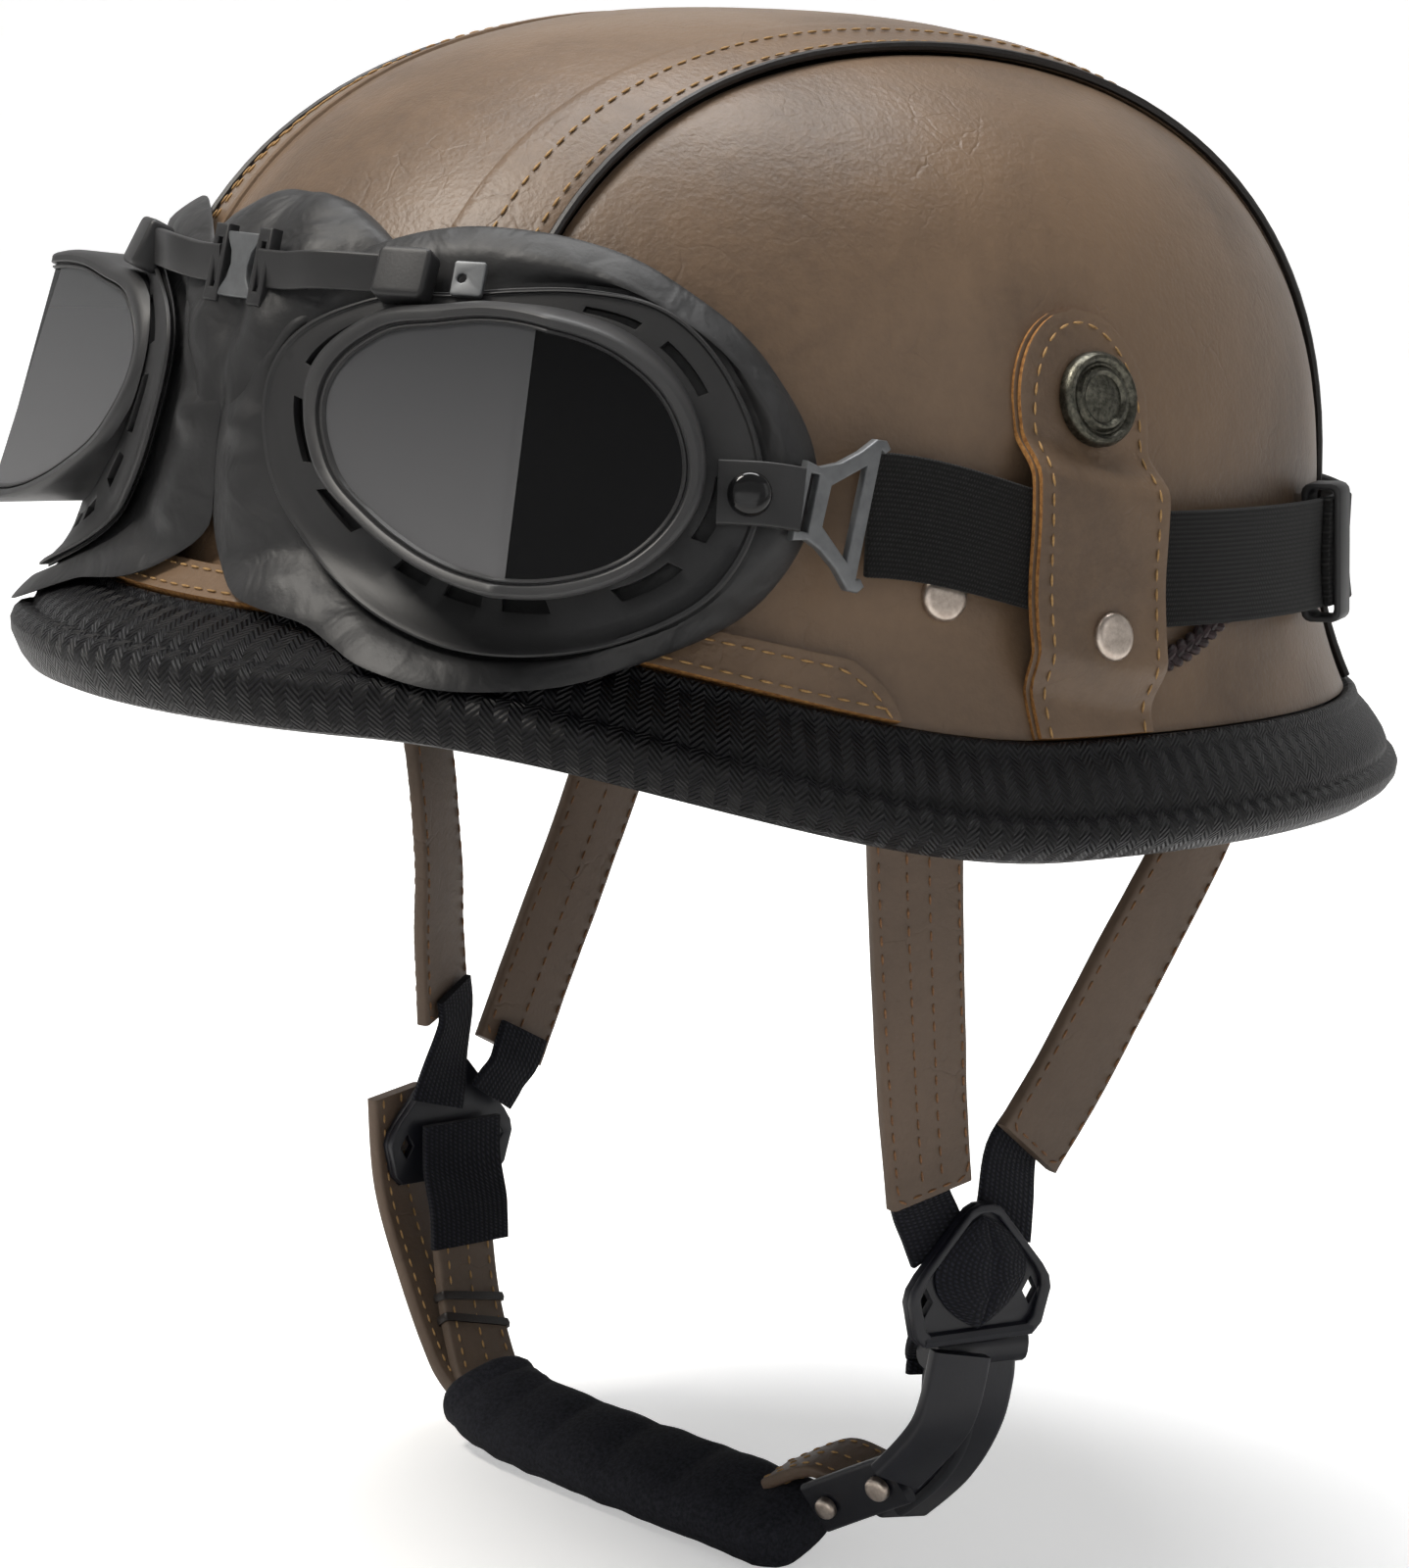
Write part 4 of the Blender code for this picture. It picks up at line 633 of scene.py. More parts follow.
# %% [markdown]
# ## Stitches by Geometry Nodes
#
# A seam is one short thread after another at an even pitch, which is work for Geometry Nodes.
# The tree takes lines, spaces points along them, lays a small rounded thread on each point along
# the line, and makes them real meshes at the end, because an export drops instances.

# %% Stitch tree
def stitch_tree():
    tree = bpy.data.node_groups.new("stitch_rows", "GeometryNodeTree")
    tree.interface.new_socket("Geometry", in_out="INPUT", socket_type="NodeSocketGeometry")
    for title in ("Pitch", "Length", "Thread"):
        tree.interface.new_socket(title, in_out="INPUT", socket_type="NodeSocketFloat")
    tree.interface.new_socket("Material", in_out="INPUT", socket_type="NodeSocketMaterial")
    tree.interface.new_socket("Geometry", in_out="OUTPUT", socket_type="NodeSocketGeometry")
    given = add(tree, "NodeGroupInput").node.outputs
    line = add(tree, "GeometryNodeMeshToCurve", {"Mesh": given["Geometry"]})
    spaced = add(tree, "GeometryNodeResampleCurve", {"Curve": line, "Length": given["Pitch"]}, mode="LENGTH")
    ball = add(tree, "GeometryNodeMeshUVSphere", {"Segments": 6, "Rings": 5, "Radius": 0.5})
    size = add(tree, "ShaderNodeCombineXYZ", {0: given["Length"], 1: given["Thread"], 2: given["Thread"]})
    tangent = add(tree, "GeometryNodeInputTangent")
    lay = add(tree, "FunctionNodeAlignRotationToVector", {"Vector": tangent}, axis="X")
    inputs = {"Points": spaced, "Instance": ball, "Rotation": lay, "Scale": size}
    threads = add(tree, "GeometryNodeInstanceOnPoints", inputs)
    smooth = add(tree, "GeometryNodeSetShadeSmooth", {"Geometry": threads})
    real = add(tree, "GeometryNodeRealizeInstances", {"Geometry": smooth})
    coloured = add(tree, "GeometryNodeSetMaterial", {"Geometry": real, "Material": given["Material"]})
    last = tree.nodes.new("NodeGroupOutput")
    tree.links.new(coloured, last.inputs[0])
    return tree


STITCH_TREE = stitch_tree()


def stitches(name, lines, pitch=3.7 * MM, length=2.7 * MM, thread=0.5 * MM, material=None):
    """Lays thread along lines of points and returns the finished piece."""
    work = bmesh.new()
    for line in lines:
        verts = [work.verts.new(point) for point in line]
        for one, two in zip(verts, verts[1:]):
            work.edges.new((one, two))
    mesh = bpy.data.meshes.new(name)
    work.to_mesh(mesh)
    work.free()
    piece = bpy.data.objects.new(name, mesh)
    bpy.context.scene.collection.objects.link(piece)
    layer = piece.modifiers.new("stitches", "NODES")
    layer.node_group = STITCH_TREE
    inputs = [item for item in STITCH_TREE.interface.items_tree if item.in_out == "INPUT"]
    sockets = {item.name: item.identifier for item in inputs}
    settings = {"Pitch": pitch, "Length": length, "Thread": thread, "Material": material or THREAD}
    for title, value in settings.items():
        layer[sockets[title]] = value
    baked(piece)
    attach(piece, "root")
    print(name, len(piece.data.polygons), "faces")
    return piece

# %% [markdown]
# ## Leather cover
#
# Three panels cover the dome. The middle one carries two raised strips, where its edge is folded
# under and sewn down twice. Each panel is a grid on the shell's formula with a thin wall, and a
# little slow noise along the normal, because real leather never lies perfectly even.

# %% Seam lines
SEAM_HALF_WIDTH = 48.1 * MM
SEAM_SLIT = 0.8 * MM
SEAM_STRIP = 17.0 * MM
STRIP_RAISE = 0.8 * MM
PIPING_RADIUS = 0.95 * MM
FLARE_ROWS = 10
PANEL_HALF_ROWS = 30
UNDER_SKULL = Vector((0, 0, -110 * MM))


def seam_half_width(y):
    return SEAM_HALF_WIDTH + 0.062 * y + 0.76 * y * y


def waist_crossing(share, end, slit):
    """Where a line at a share of the seam's half width meets the waist: its x and y."""
    length = HALF_LENGTH_FRONT if end < 0 else HALF_LENGTH_BACK
    y = end * length * 0.9
    for _ in range(12):
        x = share * (seam_half_width(y) + slit)
        y = end * length * math.sqrt(1.0 - (x / HALF_WIDTH) ** 2)
    return x, y


def crown_line(share, slit, proud, inset=0.0):
    front_y = waist_crossing(share, -1, slit)[1]
    back_y = waist_crossing(share, 1, slit)[1]
    points = []
    for step in range(-PANEL_HALF_ROWS, PANEL_HALF_ROWS + 1):
        turn = math.sin(math.radians(90) * step / PANEL_HALF_ROWS)
        y = turn * (back_y if turn > 0 else -front_y)
        x = share * (seam_half_width(y) + slit) - math.copysign(inset, share)
        points.append(dome_point(x / HALF_WIDTH, y / half_length(y), proud))
    return points


def seam_line(share, slit, proud, front_gap=0.0, inset=0.0):
    """Points of one lengthwise line of the crown, from the front trim to the back trim."""
    crown = crown_line(share, slit, proud, inset)
    ends = []
    for end, near in ((-1, crown[0]), (1, crown[-1])):
        around = math.atan2(near.y / half_length(near.y), near.x / HALF_WIDTH)
        foot = leather_foot(around)
        if end < 0:
            foot -= front_gap / flare_length(around)
        falls = [foot * step / FLARE_ROWS for step in range(1, FLARE_ROWS + 1)]
        ends.append([flare_point(around, fall, proud) for fall in falls])
    return ends[0][::-1] + crown + ends[1]


def roughen(mesh, depth, size):
    """Moves each point a little along its normal, by slow noise."""
    for vert in mesh.vertices:
        swell = noise.noise(vert.co / size) + 0.4 * noise.noise(vert.co / (size * 0.35))
        vert.co += vert.normal * swell * depth
    return mesh


# %% Leather panels
strip_edge = 1.0 - SEAM_STRIP / SEAM_HALF_WIDTH
raised_half = [(1.0, 0.2), (0.994, 0.7), (0.98, 1.0), (0.93, 0.92), (0.87, 0.97), (0.8, 1.0), (0.74, 1.02)]
raised_half += [(0.69, 1.0), (strip_edge + 0.012, 1.0), (strip_edge + 0.003, 0.7), (strip_edge, 0.0)]
flat_half = [(strip_edge * part, 0.0) for part in (0.85, 0.7, 0.55, 0.4, 0.25, 0.12)]
half_columns = raised_half + flat_half
panel_columns = [(-s, r) for s, r in half_columns] + [(0.0, 0.0)] + half_columns[::-1]
rows = [seam_line(share, -SEAM_SLIT / 2, lift * STRIP_RAISE) for share, lift in panel_columns]
panel = surface("leather_centre", rows)
face_away(panel, UNDER_SKULL)
panel = roughen(panel, 0.16 * MM, 26 * MM)
centre_piece = shown("leather_centre", panel, LEATHER_HIDE, ["centre_panel"])
wall(centre_piece, LEATHER)


def side_panel_rows(side):
    seam = crown_line(1.0, SEAM_SLIT / 2, 0.0)
    ends = [waist_crossing(1.0, end, SEAM_SLIT / 2) for end in (-1, 1)]
    first, last = (math.atan2(y / half_length(y), x / HALF_WIDTH) for x, y in ends)
    turns = [blend(first, last, step / (len(seam) - 1)) for step in range(len(seam))]
    rows = []
    for share in [0.0, 0.006, 0.02] + [math.sin(math.radians(90) * row / 16) for row in range(1, 17)]:
        line = []
        for point, around in zip(seam, turns):
            share_x = blend(point.x / HALF_WIDTH, math.cos(around), share)
            share_y = blend(point.y / half_length(point.y), math.sin(around), share)
            line.append(dome_point(share_x, share_y, -0.5 * MM * max(0.0, 1.0 - share / 0.015)))
        line[0], line[-1] = flare_point(first, 0.0), flare_point(last, 0.0)
        rows.append(line)
    for row in range(1, FLARE_ROWS + 1):
        rows.append([flare_point(t, leather_foot(t) * row / FLARE_ROWS) for t in turns])
    return [[Vector((side * p.x, p.y, p.z)) for p in line] for line in rows]


for word, side in SIDES:
    panel = surface("leather_" + word, side_panel_rows(side))
    face_away(panel, UNDER_SKULL)
    roughen(panel, 0.16 * MM, 26 * MM)
    wall(shown("leather_" + word, panel, LEATHER_HIDE, ["side_panel_" + word]), LEATHER)
print("panels cover", round((dome_point(0, 0) - UNDER_SKULL).z, 3), "m above the test point")

# %% [markdown]
# ## Piping and crown stitches
#
# A thin black cord covered in skin closes each crown seam. Beside it run two rows of tan thread,
# which the stitch tree lays on the raised strip.

# %% Piping and crown stitches
ROUND = [(math.cos(math.radians(45) * k), math.sin(math.radians(45) * k)) for k in range(8)]
BROW_HEIGHT = 11.0 * MM
for word, side in SIDES:
    path = seam_line(side, 0.0, 1.3 * MM, front_gap=BROW_HEIGHT + 2 * PIPING_RADIUS)
    section = [(a * PIPING_RADIUS, b * PIPING_RADIUS) for a, b in ROUND]
    tube = swept("seam_piping_" + word, path, (1, 0, 0), section)
    shown("seam_piping_" + word, tube, PIPING_SKIN, ["piping_" + word])

crown_rows = []
for side in (-1, 1):
    for inset in (3.0 * MM, 10.2 * MM):
        crown_rows.append(seam_line(side, 0.0, STRIP_RAISE + 0.25 * MM, BROW_HEIGHT + 2 * MM, inset))
stitches("crown_stitches", crown_rows)

# %% [markdown]
# ## Rim trim
#
# A moulded rubber edging closes the rim. Its outside is one broad band with a round top lip, then
# a groove, then a round roll at the very edge. One section is swept all the way round, and the
# woven look is embossed by its material, because it is as fine as a fingerprint.

# %% Rim trim
TRIM_WALL = 2.2 * MM
TRIM_GAP = 0.75 * MM


def trim_outline(around):
    """The section as (down, out) pairs: outside from lip to roll, then back up inside."""
    length = flare_length(around)
    clear, inside = SHELL_OUT + TRIM_GAP, SHELL_IN - TRIM_GAP
    middle = (clear + inside) / 2
    top = trim_top(around)
    lip = [(0.0, clear), (0.0, 0.9), (0.3, 1.7), (1.1, 2.2), (2.2, 2.1), (3.0, 1.8)]
    lip += [(4.5, 2.3), (7.0, 2.9), (9.5, 3.2)]
    lip = [(top + mm / 1000 / length, out if out < 0 else out * MM) for mm, out in lip]
    band = [(-4.0, 3.3), (-2.2, 3.0), (-1.2, 2.3), (-0.6, 2.2), (0.0, 2.6), (1.2, 3.0)]
    band += [(2.6, 2.7), (3.9, 1.5), (4.7, -0.5)]
    band = [(1.0 + mm / 1000 / length, out * MM) for mm, out in band]
    roll = [(4.95, middle), (4.6, middle - 2.4 * MM), (3.2, inside - 1.4 * MM), (0.5, inside - TRIM_WALL)]
    roll = [(1.0 + mm / 1000 / length, out) for mm, out in roll]
    edge = 1.0 + TRIM_GAP / length
    back = [(0.84, inside - TRIM_WALL), (0.84, inside), (edge, inside), (edge, clear), (0.84, clear)]
    return lip + band + roll + back


TRIM_STATIONS = 360
trim_turns = [2 * math.pi * step / TRIM_STATIONS for step in range(TRIM_STATIONS)]
trim_rows = [[flare_point(t, down, out) for down, out in trim_outline(t)] for t in trim_turns]
trim_mesh = surface("rubber_edging", trim_rows, wrap_along=True, wrap_across=True)
if volume(trim_mesh) < 0:
    trim_mesh.flip_normals()
shown("rubber_edging", trim_mesh, TRIM_RUBBER, ["rim_trim"], sharp=55)
print("edging faces", len(trim_mesh.polygons))

# %% [markdown]
# ## Brow band
#
# A second layer of leather runs across the brow, just above the trim, sewn along both edges. Its
# ends round down to the trim. It is one row wide, so a grid follows it from end to end.

# %% Brow band
BROW_REACH = math.radians(66)
BROW_LEATHER = 1.0 * MM
BROW_LIFT = 1.6 * MM
BROW_CORNER = 9.0 * MM


def brow_lines(shares, reach=BROW_REACH, height=BROW_HEIGHT, lift=BROW_LIFT, foot_lift=0.0):
    """Lines along the brow band; a share of 0 is its foot and 1 its top."""
    steps = 120
    lines = [[] for _ in shares]
    for step in range(steps + 1):
        across = blend(-reach, reach, 0.5 - 0.5 * math.cos(math.pi * step / steps))
        around = across - math.pi / 2
        length = flare_length(around)
        to_end = (reach - abs(across)) * HALF_LENGTH_FRONT
        tall = height * math.sqrt(min(1.0, to_end / BROW_CORNER + 0.02))
        foot = leather_foot(around) - foot_lift / length
        for line, share in zip(lines, shares):
            line.append(flare_point(around, foot - share * tall / length, lift + BROW_LEATHER))
    return lines


band = surface("brow_strip", brow_lines([0.0, 0.12, 0.3, 0.5, 0.7, 0.88, 1.0]))
face_away(band, UNDER_SKULL)
roughen(band, 0.12 * MM, 20 * MM)
brow_piece = shown("brow_strip", band, LEATHER_HIDE, ["brow_band"])
brow_piece.data.materials.append(RAW_EDGE)
wall(brow_piece, BROW_LEATHER + 1.2 * MM, edge=1)
inner_reach = BROW_REACH - 2.4 * MM / HALF_LENGTH_FRONT
brow_rows = brow_lines([1.0], inner_reach, BROW_HEIGHT - 2.4 * MM, BROW_LIFT + 0.2 * MM)
brow_rows += brow_lines([0.0], inner_reach - 0.01, 1.0 * MM, BROW_LIFT + 0.2 * MM, 2.0 * MM)
stitches("brow_stitches", brow_rows)

# %% [markdown]
# ## Elastic strap
#
# The goggles hang on a broad black elastic that runs right round the back. It is flat ribbon
# with a fine lengthwise rib. Near the back on the left side it goes through a plastic slider and
# doubles back on itself, so it is two layers thick there.

# %% Elastic strap
ELASTIC_WIDTH = 22.0 * MM
ELASTIC_THICK = 1.8 * MM
ELASTIC_FRONT = math.radians(-27)
SLIDER_TURN = math.radians(31)


def elastic_height(around):
    if around < 0:
        return blend(7.8 * MM, -3.2 * MM, ease(1.0 - around / ELASTIC_FRONT))
    return blend(-3.2 * MM, -6.0 * MM, around / (math.pi / 2))


def elastic_lift(around):
    return blend(2.9 * MM, 4.6 * MM, ease((around + 0.06) / 0.2))


def elastic_column(around, shares, extra=0.0):
    proud = elastic_lift(around) + ELASTIC_THICK + extra
    middle = elastic_height(around)
    return [skin_point(around, middle + up * ELASTIC_WIDTH, proud) for up in shares]


def elastic_ribbon(name, start, end, steps, extra=0.0, mirrored=False):
    """Rows along the strap between two directions, mirrored past the back where asked."""
    shares = [0.5, 0.46, 0.3, 0.1, -0.1, -0.3, -0.46, -0.5]
    columns = [elastic_column(blend(start, end, step / steps), shares, extra) for step in range(steps + 1)]
    if mirrored:
        columns += [[Vector((-p.x, p.y, p.z)) for p in column] for column in columns[-2::-1]]
    mesh = surface(name, columns)
    face_away(mesh, UNDER_SKULL)
    return mesh


band = elastic_ribbon("elastic_band", ELASTIC_FRONT, math.pi / 2, 60, mirrored=True)
wall(shown("elastic_band", band, ELASTIC_CLOTH, ["goggle_strap"]), ELASTIC_THICK)
fold = elastic_ribbon("elastic_fold", SLIDER_TURN - 0.04, SLIDER_TURN + 0.13, 8, extra=1.7 * MM)
wall(shown("elastic_fold", fold, ELASTIC_CLOTH), 1.5 * MM)

# %% Slider
def slider_mesh():
    """A flat frame round the strap: a rounded strip swept along a rounded rectangle."""
    upper, middle, lower = elastic_column(SLIDER_TURN, (0.5, 0.0, -0.5))
    ahead = elastic_column(SLIDER_TURN + 0.03, (0.0,))[0] - elastic_column(SLIDER_TURN - 0.03, (0.0,))[0]
    up = (upper - lower).normalized()
    normal = ahead.cross(up).normalized()
    normal = normal if normal.x > 0 else -normal
    ahead = up.cross(normal).normalized()
    centre = (upper + lower) / 2 - normal * (ELASTIC_THICK / 2 - 0.2 * MM)
    corners = rounded_section(2 * (ELASTIC_THICK / 2 + 2.4 * MM), ELASTIC_WIDTH + 4.2 * MM, 1.6 * MM)
    rows = []
    for a, b in corners:
        place = centre + normal * a + up * b
        out = (normal * a * 3 + up * b * 0.4).normalized()
        section = rounded_section(1.7 * MM, 8.0 * MM, 0.6 * MM, 2)
        rows.append([place + out * s + ahead * t for s, t in section])
    mesh = surface("elastic_slider", rows, wrap_along=True, wrap_across=True)
    if volume(mesh) < 0:
        mesh.flip_normals()
    return mesh


shown("elastic_slider", slider_mesh(), FLANGE_ABS, ["strap_slider"])

# %% [markdown]
# ## Side tabs
#
# A round topped tab of two leather layers holds the elastic down on each side. Its front edge is
# cut, not turned, so two bare orange edges show. It dips round its rivet, where it is squeezed.

# %% Tab form
TAB_TOP = 45.0 * MM
TAB_HALF_WIDTH = 16.2 * MM
TAB_FOOT_HALF_WIDTH = 14.7 * MM
TAB_Y = -13.0 * MM
TAB_LEATHER = 1.5 * MM
REST_GAP = 0.35 * MM
TAB_RIVET = (-11.3 * MM, -15.4 * MM)
FRONT_RIVET = (-43.3 * MM, -7.0 * MM)
BUTTON = (-11.1 * MM, 28.4 * MM)


def side_foot(y):
    around = math.asin(y / (half_length(y) + FLARE_SIDE * 0.5))
    return -rim_drop(around) * leather_foot(around)


def tab_lift(y, z):
    """The tab rides over the elastic and comes back to the leather above and below it."""
    around = side_turn(y, 0.0)
    over = elastic_lift(around) + ELASTIC_THICK + 3 * REST_GAP
    beyond = 2.0 * MM if z > elastic_height(around) else 7.0 * MM
    away = abs(z - elastic_height(around)) - ELASTIC_WIDTH / 2 - beyond
    return blend(over, REST_GAP, ease(away / (9 * MM)))


def tab_point(side, y, z, extra=0.0):
    away = math.hypot(y - TAB_RIVET[0], z - TAB_RIVET[1])
    dip = 0.6 * MM * math.exp(-((away / (7 * MM)) ** 2))
    dip -= 0.25 * MM * math.exp(-(((away - 11 * MM) / (3 * MM)) ** 2))
    level = max(z, side_foot(y))
    return side_point(side, y, level, tab_lift(y, z) + TAB_LEATHER + extra - dip)


def tab_half(z, inset=0.0):
    """Half the tab's width at a height, for its own outline or one inside it."""
    foot_z = side_foot(TAB_Y)
    share = (TAB_TOP - z) / (TAB_TOP - foot_z)
    width = blend(TAB_HALF_WIDTH, TAB_FOOT_HALF_WIDTH, share) - inset
    round_share = min(1.0, max(0.0, (TAB_TOP - inset - z) / (TAB_HALF_WIDTH * 1.15)))
    return width * math.sqrt(max(0.0, 1.0 - (1.0 - round_share) ** 2))


def tab_rows(side, inset, extra):
    foot_z = side_foot(TAB_Y)
    rows = []
    for step in range(61):
        share = step / 60
        fall = ease(share) * 0.2 + share * 0.8 - 0.12 * math.sin(math.pi * share) ** 2
        z = blend(TAB_TOP - inset, foot_z, fall)
        width = tab_half(z, inset)
        waver = 0.25 * MM * math.sin(z / (7 * MM))
        shares = [-1.0, -0.94, -0.8, -0.6, -0.4, -0.2, 0.0, 0.2, 0.4, 0.6, 0.8, 0.94, 1.0]
        places = [TAB_Y + a * width + (waver if a < -0.9 else 0.0) for a in shares]
        rows.append([tab_point(side, y, z, extra) for y in places])
    return rows


def tab_line(side, inset, sides=(-1, 1)):
    """A stitch line inside the tab's outline, up one side, over the top and down the other."""
    foot_z = side_foot(TAB_Y)
    top = TAB_TOP - inset
    heights = [blend(top, foot_z + 1 * MM, (step / 70) ** 1.7) for step in range(71)]
    front = [tab_point(side, TAB_Y - tab_half(z, inset), z, 0.3 * MM) for z in heights]
    back = [tab_point(side, TAB_Y + tab_half(z, inset), z, 0.3 * MM) for z in heights]
    return front[::-1] + back[1:]


# %% Tabs, their stitches and the cord
for word, side in SIDES:
    layers = []
    for inset, extra in ((0.7 * MM, 0.0), (0.0, -1.15 * MM)):
        sheet = surface("tab_layer", tab_rows(side, inset, extra))
        face_away(sheet, UNDER_SKULL)
        layers.append(sheet)
    both = joined("leather_tab_" + word, layers)
    tab_piece = shown("leather_tab_" + word, both, LEATHER_HIDE, ["side_tab_" + word])
    tab_piece.data.materials.append(RAW_EDGE)
    wall(tab_piece, 1.0 * MM, edge=1)
    stitches("tab_stitches_" + word, [tab_line(side, 3.2 * MM)], 3.6 * MM, 2.6 * MM)


def braid_strands(side):
    """Three thin strands that weave over and under each other along the cord."""
    path = []
    for step in range(73):
        share = step / 72
        y = blend(5.0 * MM, 44.0 * MM, share)
        path.append((y, blend(-20.5 * MM, -8.0 * MM, ease(share))))
    strands = []
    for strand in range(3):
        points = []
        for index, (y, z) in enumerate(path):
            phase = 2 * math.pi * (index / 72 * 4.6 + strand / 3)
            rise = 1.35 * MM + 0.6 * MM * math.sin(2 * phase)
            points.append(side_point(side, y, z + 1.5 * MM * math.sin(phase), rise))
        section = [(a * 0.95 * MM, b * 0.95 * MM) for a, b in ROUND]
        strand_mesh = swept("strand", points, (0, 0, 1), section)
        strands.append(strand_mesh)
    return joined("braid", strands)


for word, side in SIDES:
    shown("cord_braid_" + word, braid_strands(side), CORD_LEATHER, ["braided_cord_" + word])

# %% [markdown]
# ## Snap buttons and rivets
#
# They are pressed metal caps, so each is a profile turned about its own axis. The buttons stay
# plain, with only the rings of their pressing. The rivets are nickel and gently domed.

# %% Buttons and rivets
BUTTON_PROFILE = [(0, 0), (8.9, 0), (8.9, 1.3), (8.6, 2.1), (8.1, 2.6), (7.5, 2.7), (7.0, 2.4)]
BUTTON_PROFILE += [(6.6, 1.9), (6.2, 1.8), (5.9, 2.1), (5.6, 2.6), (5.1, 2.8), (4.7, 2.5)]
BUTTON_PROFILE += [(4.4, 2.2), (3.9, 2.3), (2.6, 2.7), (1.3, 2.9), (0, 3.0)]
RIVET_PROFILE = [(0, 0), (1.0, 0), (1.0, 0.35), (0.96, 0.6), (0.86, 0.82)]
RIVET_PROFILE += [(0.7, 0.93), (0.4, 0.99), (0, 1.0)]


def round_cap(name, profile, place, axis, material, node):
    mesh = turned(name, profile, place, axis)
    return shown(name, mesh, material, [node])


for word, side in SIDES:
    axis = side_normal(side, *BUTTON)
    seat = side_point(side, *BUTTON) + axis * (tab_lift(*BUTTON) + TAB_LEATHER + 0.1 * MM)
    profile = [(r * MM, h * MM) for r, h in BUTTON_PROFILE]
    round_cap("snap_cap_" + word, profile, seat, axis, OLD_BRASS, "snap_button_" + word)
    for kind, spot, under in (
        ("tab_rivet_", TAB_RIVET, tab_lift(*TAB_RIVET) + TAB_LEATHER - 0.6 * MM),
        ("front_rivet_", FRONT_RIVET, 0.1 * MM),
    ):
        axis = side_normal(side, *spot)
        seat = side_point(side, *spot) + axis * under
        profile = [(r * 4.6 * MM, h * 1.9 * MM) for r, h in RIVET_PROFILE]
        round_cap(kind + "cap_" + word, profile, seat, axis, NICKEL, kind + word)
print("buttons and rivets turned")

# %% [markdown]
# ## Hard shell
#
# The moulded shell shows only from below, as the open hollow. It keeps its solid from the frame,
# and takes a dull moulded finish.

# %% Hard shell finish
def refinish(node, material):
    """Gives a carried over solid its real material, and leaves its mesh alone."""
    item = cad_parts[node]
    item.data.materials.clear()
    item.data.materials.append(material)


refinish("hard_shell", SHELL_ABS)

# %% [markdown]
# ## Goggle form
#
# Each eyecup follows an upright cone that leans back at the top, held off the shell where the
# two come close. A table gives the reach of four outlines round its centre: the flange, the rim,
# the lens and the cushion. These are the same values as in the solids, taken in finer steps.

# %% Goggle sizes and functions
CUP_AXIS_X, CUP_AXIS_Y = -7.0 * MM, 6.0 * MM
CUP_RADIUS = 135.0 * MM
CUP_LEAN = 0.27
CUP_LEVEL = 16.0 * MM
CUP_CENTRE_ARC, CUP_CENTRE_Z = 66.0 * MM, 14.0 * MM
FLANGE_THICK = 1.8 * MM
LENS_THICK = 2.0 * MM
RIDGE_X, RIDGE_Y = 76.0 * MM, -127.0 * MM
PAD_SEAT = 4.1 * MM
CUP_STEPS = 168
EYECUP_COLUMNS = ("flange", "rim", "lens", "pad")
EYECUP_ROWS = (
    (46.9, 37.2, 33.9, 56.7),
    (44.6, 37.2, 33.9, 51.3),
    (41.2, 34.7, 31.4, 44.9),
    (34.9, 31.6, 28.4, 41.7),
    (31.6, 30.2, 26.9, 41.2),
    (32.6, 31.0, 27.4, 44.6),
    (39.8, 36.4, 31.6, 50.1),
    (47.0, 38.8, 33.6, 53.5),
    (43.2, 32.0, 27.0, 56.0),
    (37.4, 23.4, 19.6, 53.0),
    (32.4, 19.2, 16.0, 40.0),
    (30.2, 17.9, 14.9, 37.0),
    (31.0, 18.6, 15.5, 37.0),
    (33.7, 21.5, 17.8, 39.0),
    (38.4, 26.8, 22.9, 43.2),
    (44.6, 32.8, 29.4, 52.1),
)


def cup_outline(column, around):
    """The reach of one outline in a direction, smoothed between the table's rows."""
    index, count = EYECUP_COLUMNS.index(column), len(EYECUP_ROWS)
    place = around / (2 * math.pi) * count
    base = math.floor(place)
    share = place - base
    before, one, two, after = (EYECUP_ROWS[(base + k) % count][index] for k in (-1, 0, 1, 2))
    step = two - one
    curve = share * (1 - share) * ((1 - share) * (one - before - step) - share * (after - two - step))
    return (blend(one, two, share) + 0.5 * curve) * MM


def cup_station(column, around, grow=0.0):
    reach = cup_outline(column, around) + grow
    return CUP_CENTRE_ARC + reach * math.cos(around), CUP_CENTRE_Z + reach * math.sin(around)


def outside_shell(x, y, z, proud):
    around = math.atan2(y / half_length(y), x / HALF_WIDTH)
    if z >= 0:
        wall_point = skin_point(around, z)
        waist = math.hypot(HALF_WIDTH * math.cos(around), half_length(math.sin(around)) * math.sin(around))
        extra = proud / max(0.35, math.hypot(wall_point.x, wall_point.y) / waist)
    else:
        down = -z / rim_drop(around)
        wall_point = flare_point(around, min(down, 1.15))
        extra = proud * math.hypot(1.0, 2 * rim_flare(around) * down / rim_drop(around))
    return math.hypot(x, y) > math.hypot(wall_point.x, wall_point.y) + extra


def shell_reach(bearing, z, proud=0.0):
    """How far the outside lies from the eyecup's axis at a height, found by halving."""
    low, high = 60 * MM, 220 * MM
    for _ in range(20):
        middle = (low + high) / 2
        x = CUP_AXIS_X + middle * math.sin(bearing)
        y = CUP_AXIS_Y - middle * math.cos(bearing)
        if outside_shell(x, y, z, proud):
            high = middle
        else:
            low = middle
    return high


def base_reach(bearing, z):
    """The flange's seat: a cone, held off the shell where they come close."""
    cone = CUP_RADIUS - CUP_LEAN * (z - CUP_LEVEL)
    held = shell_reach(bearing, z, 6.4 * MM)
    return (cone + held + math.hypot(cone - held, 5.0 * MM)) / 2


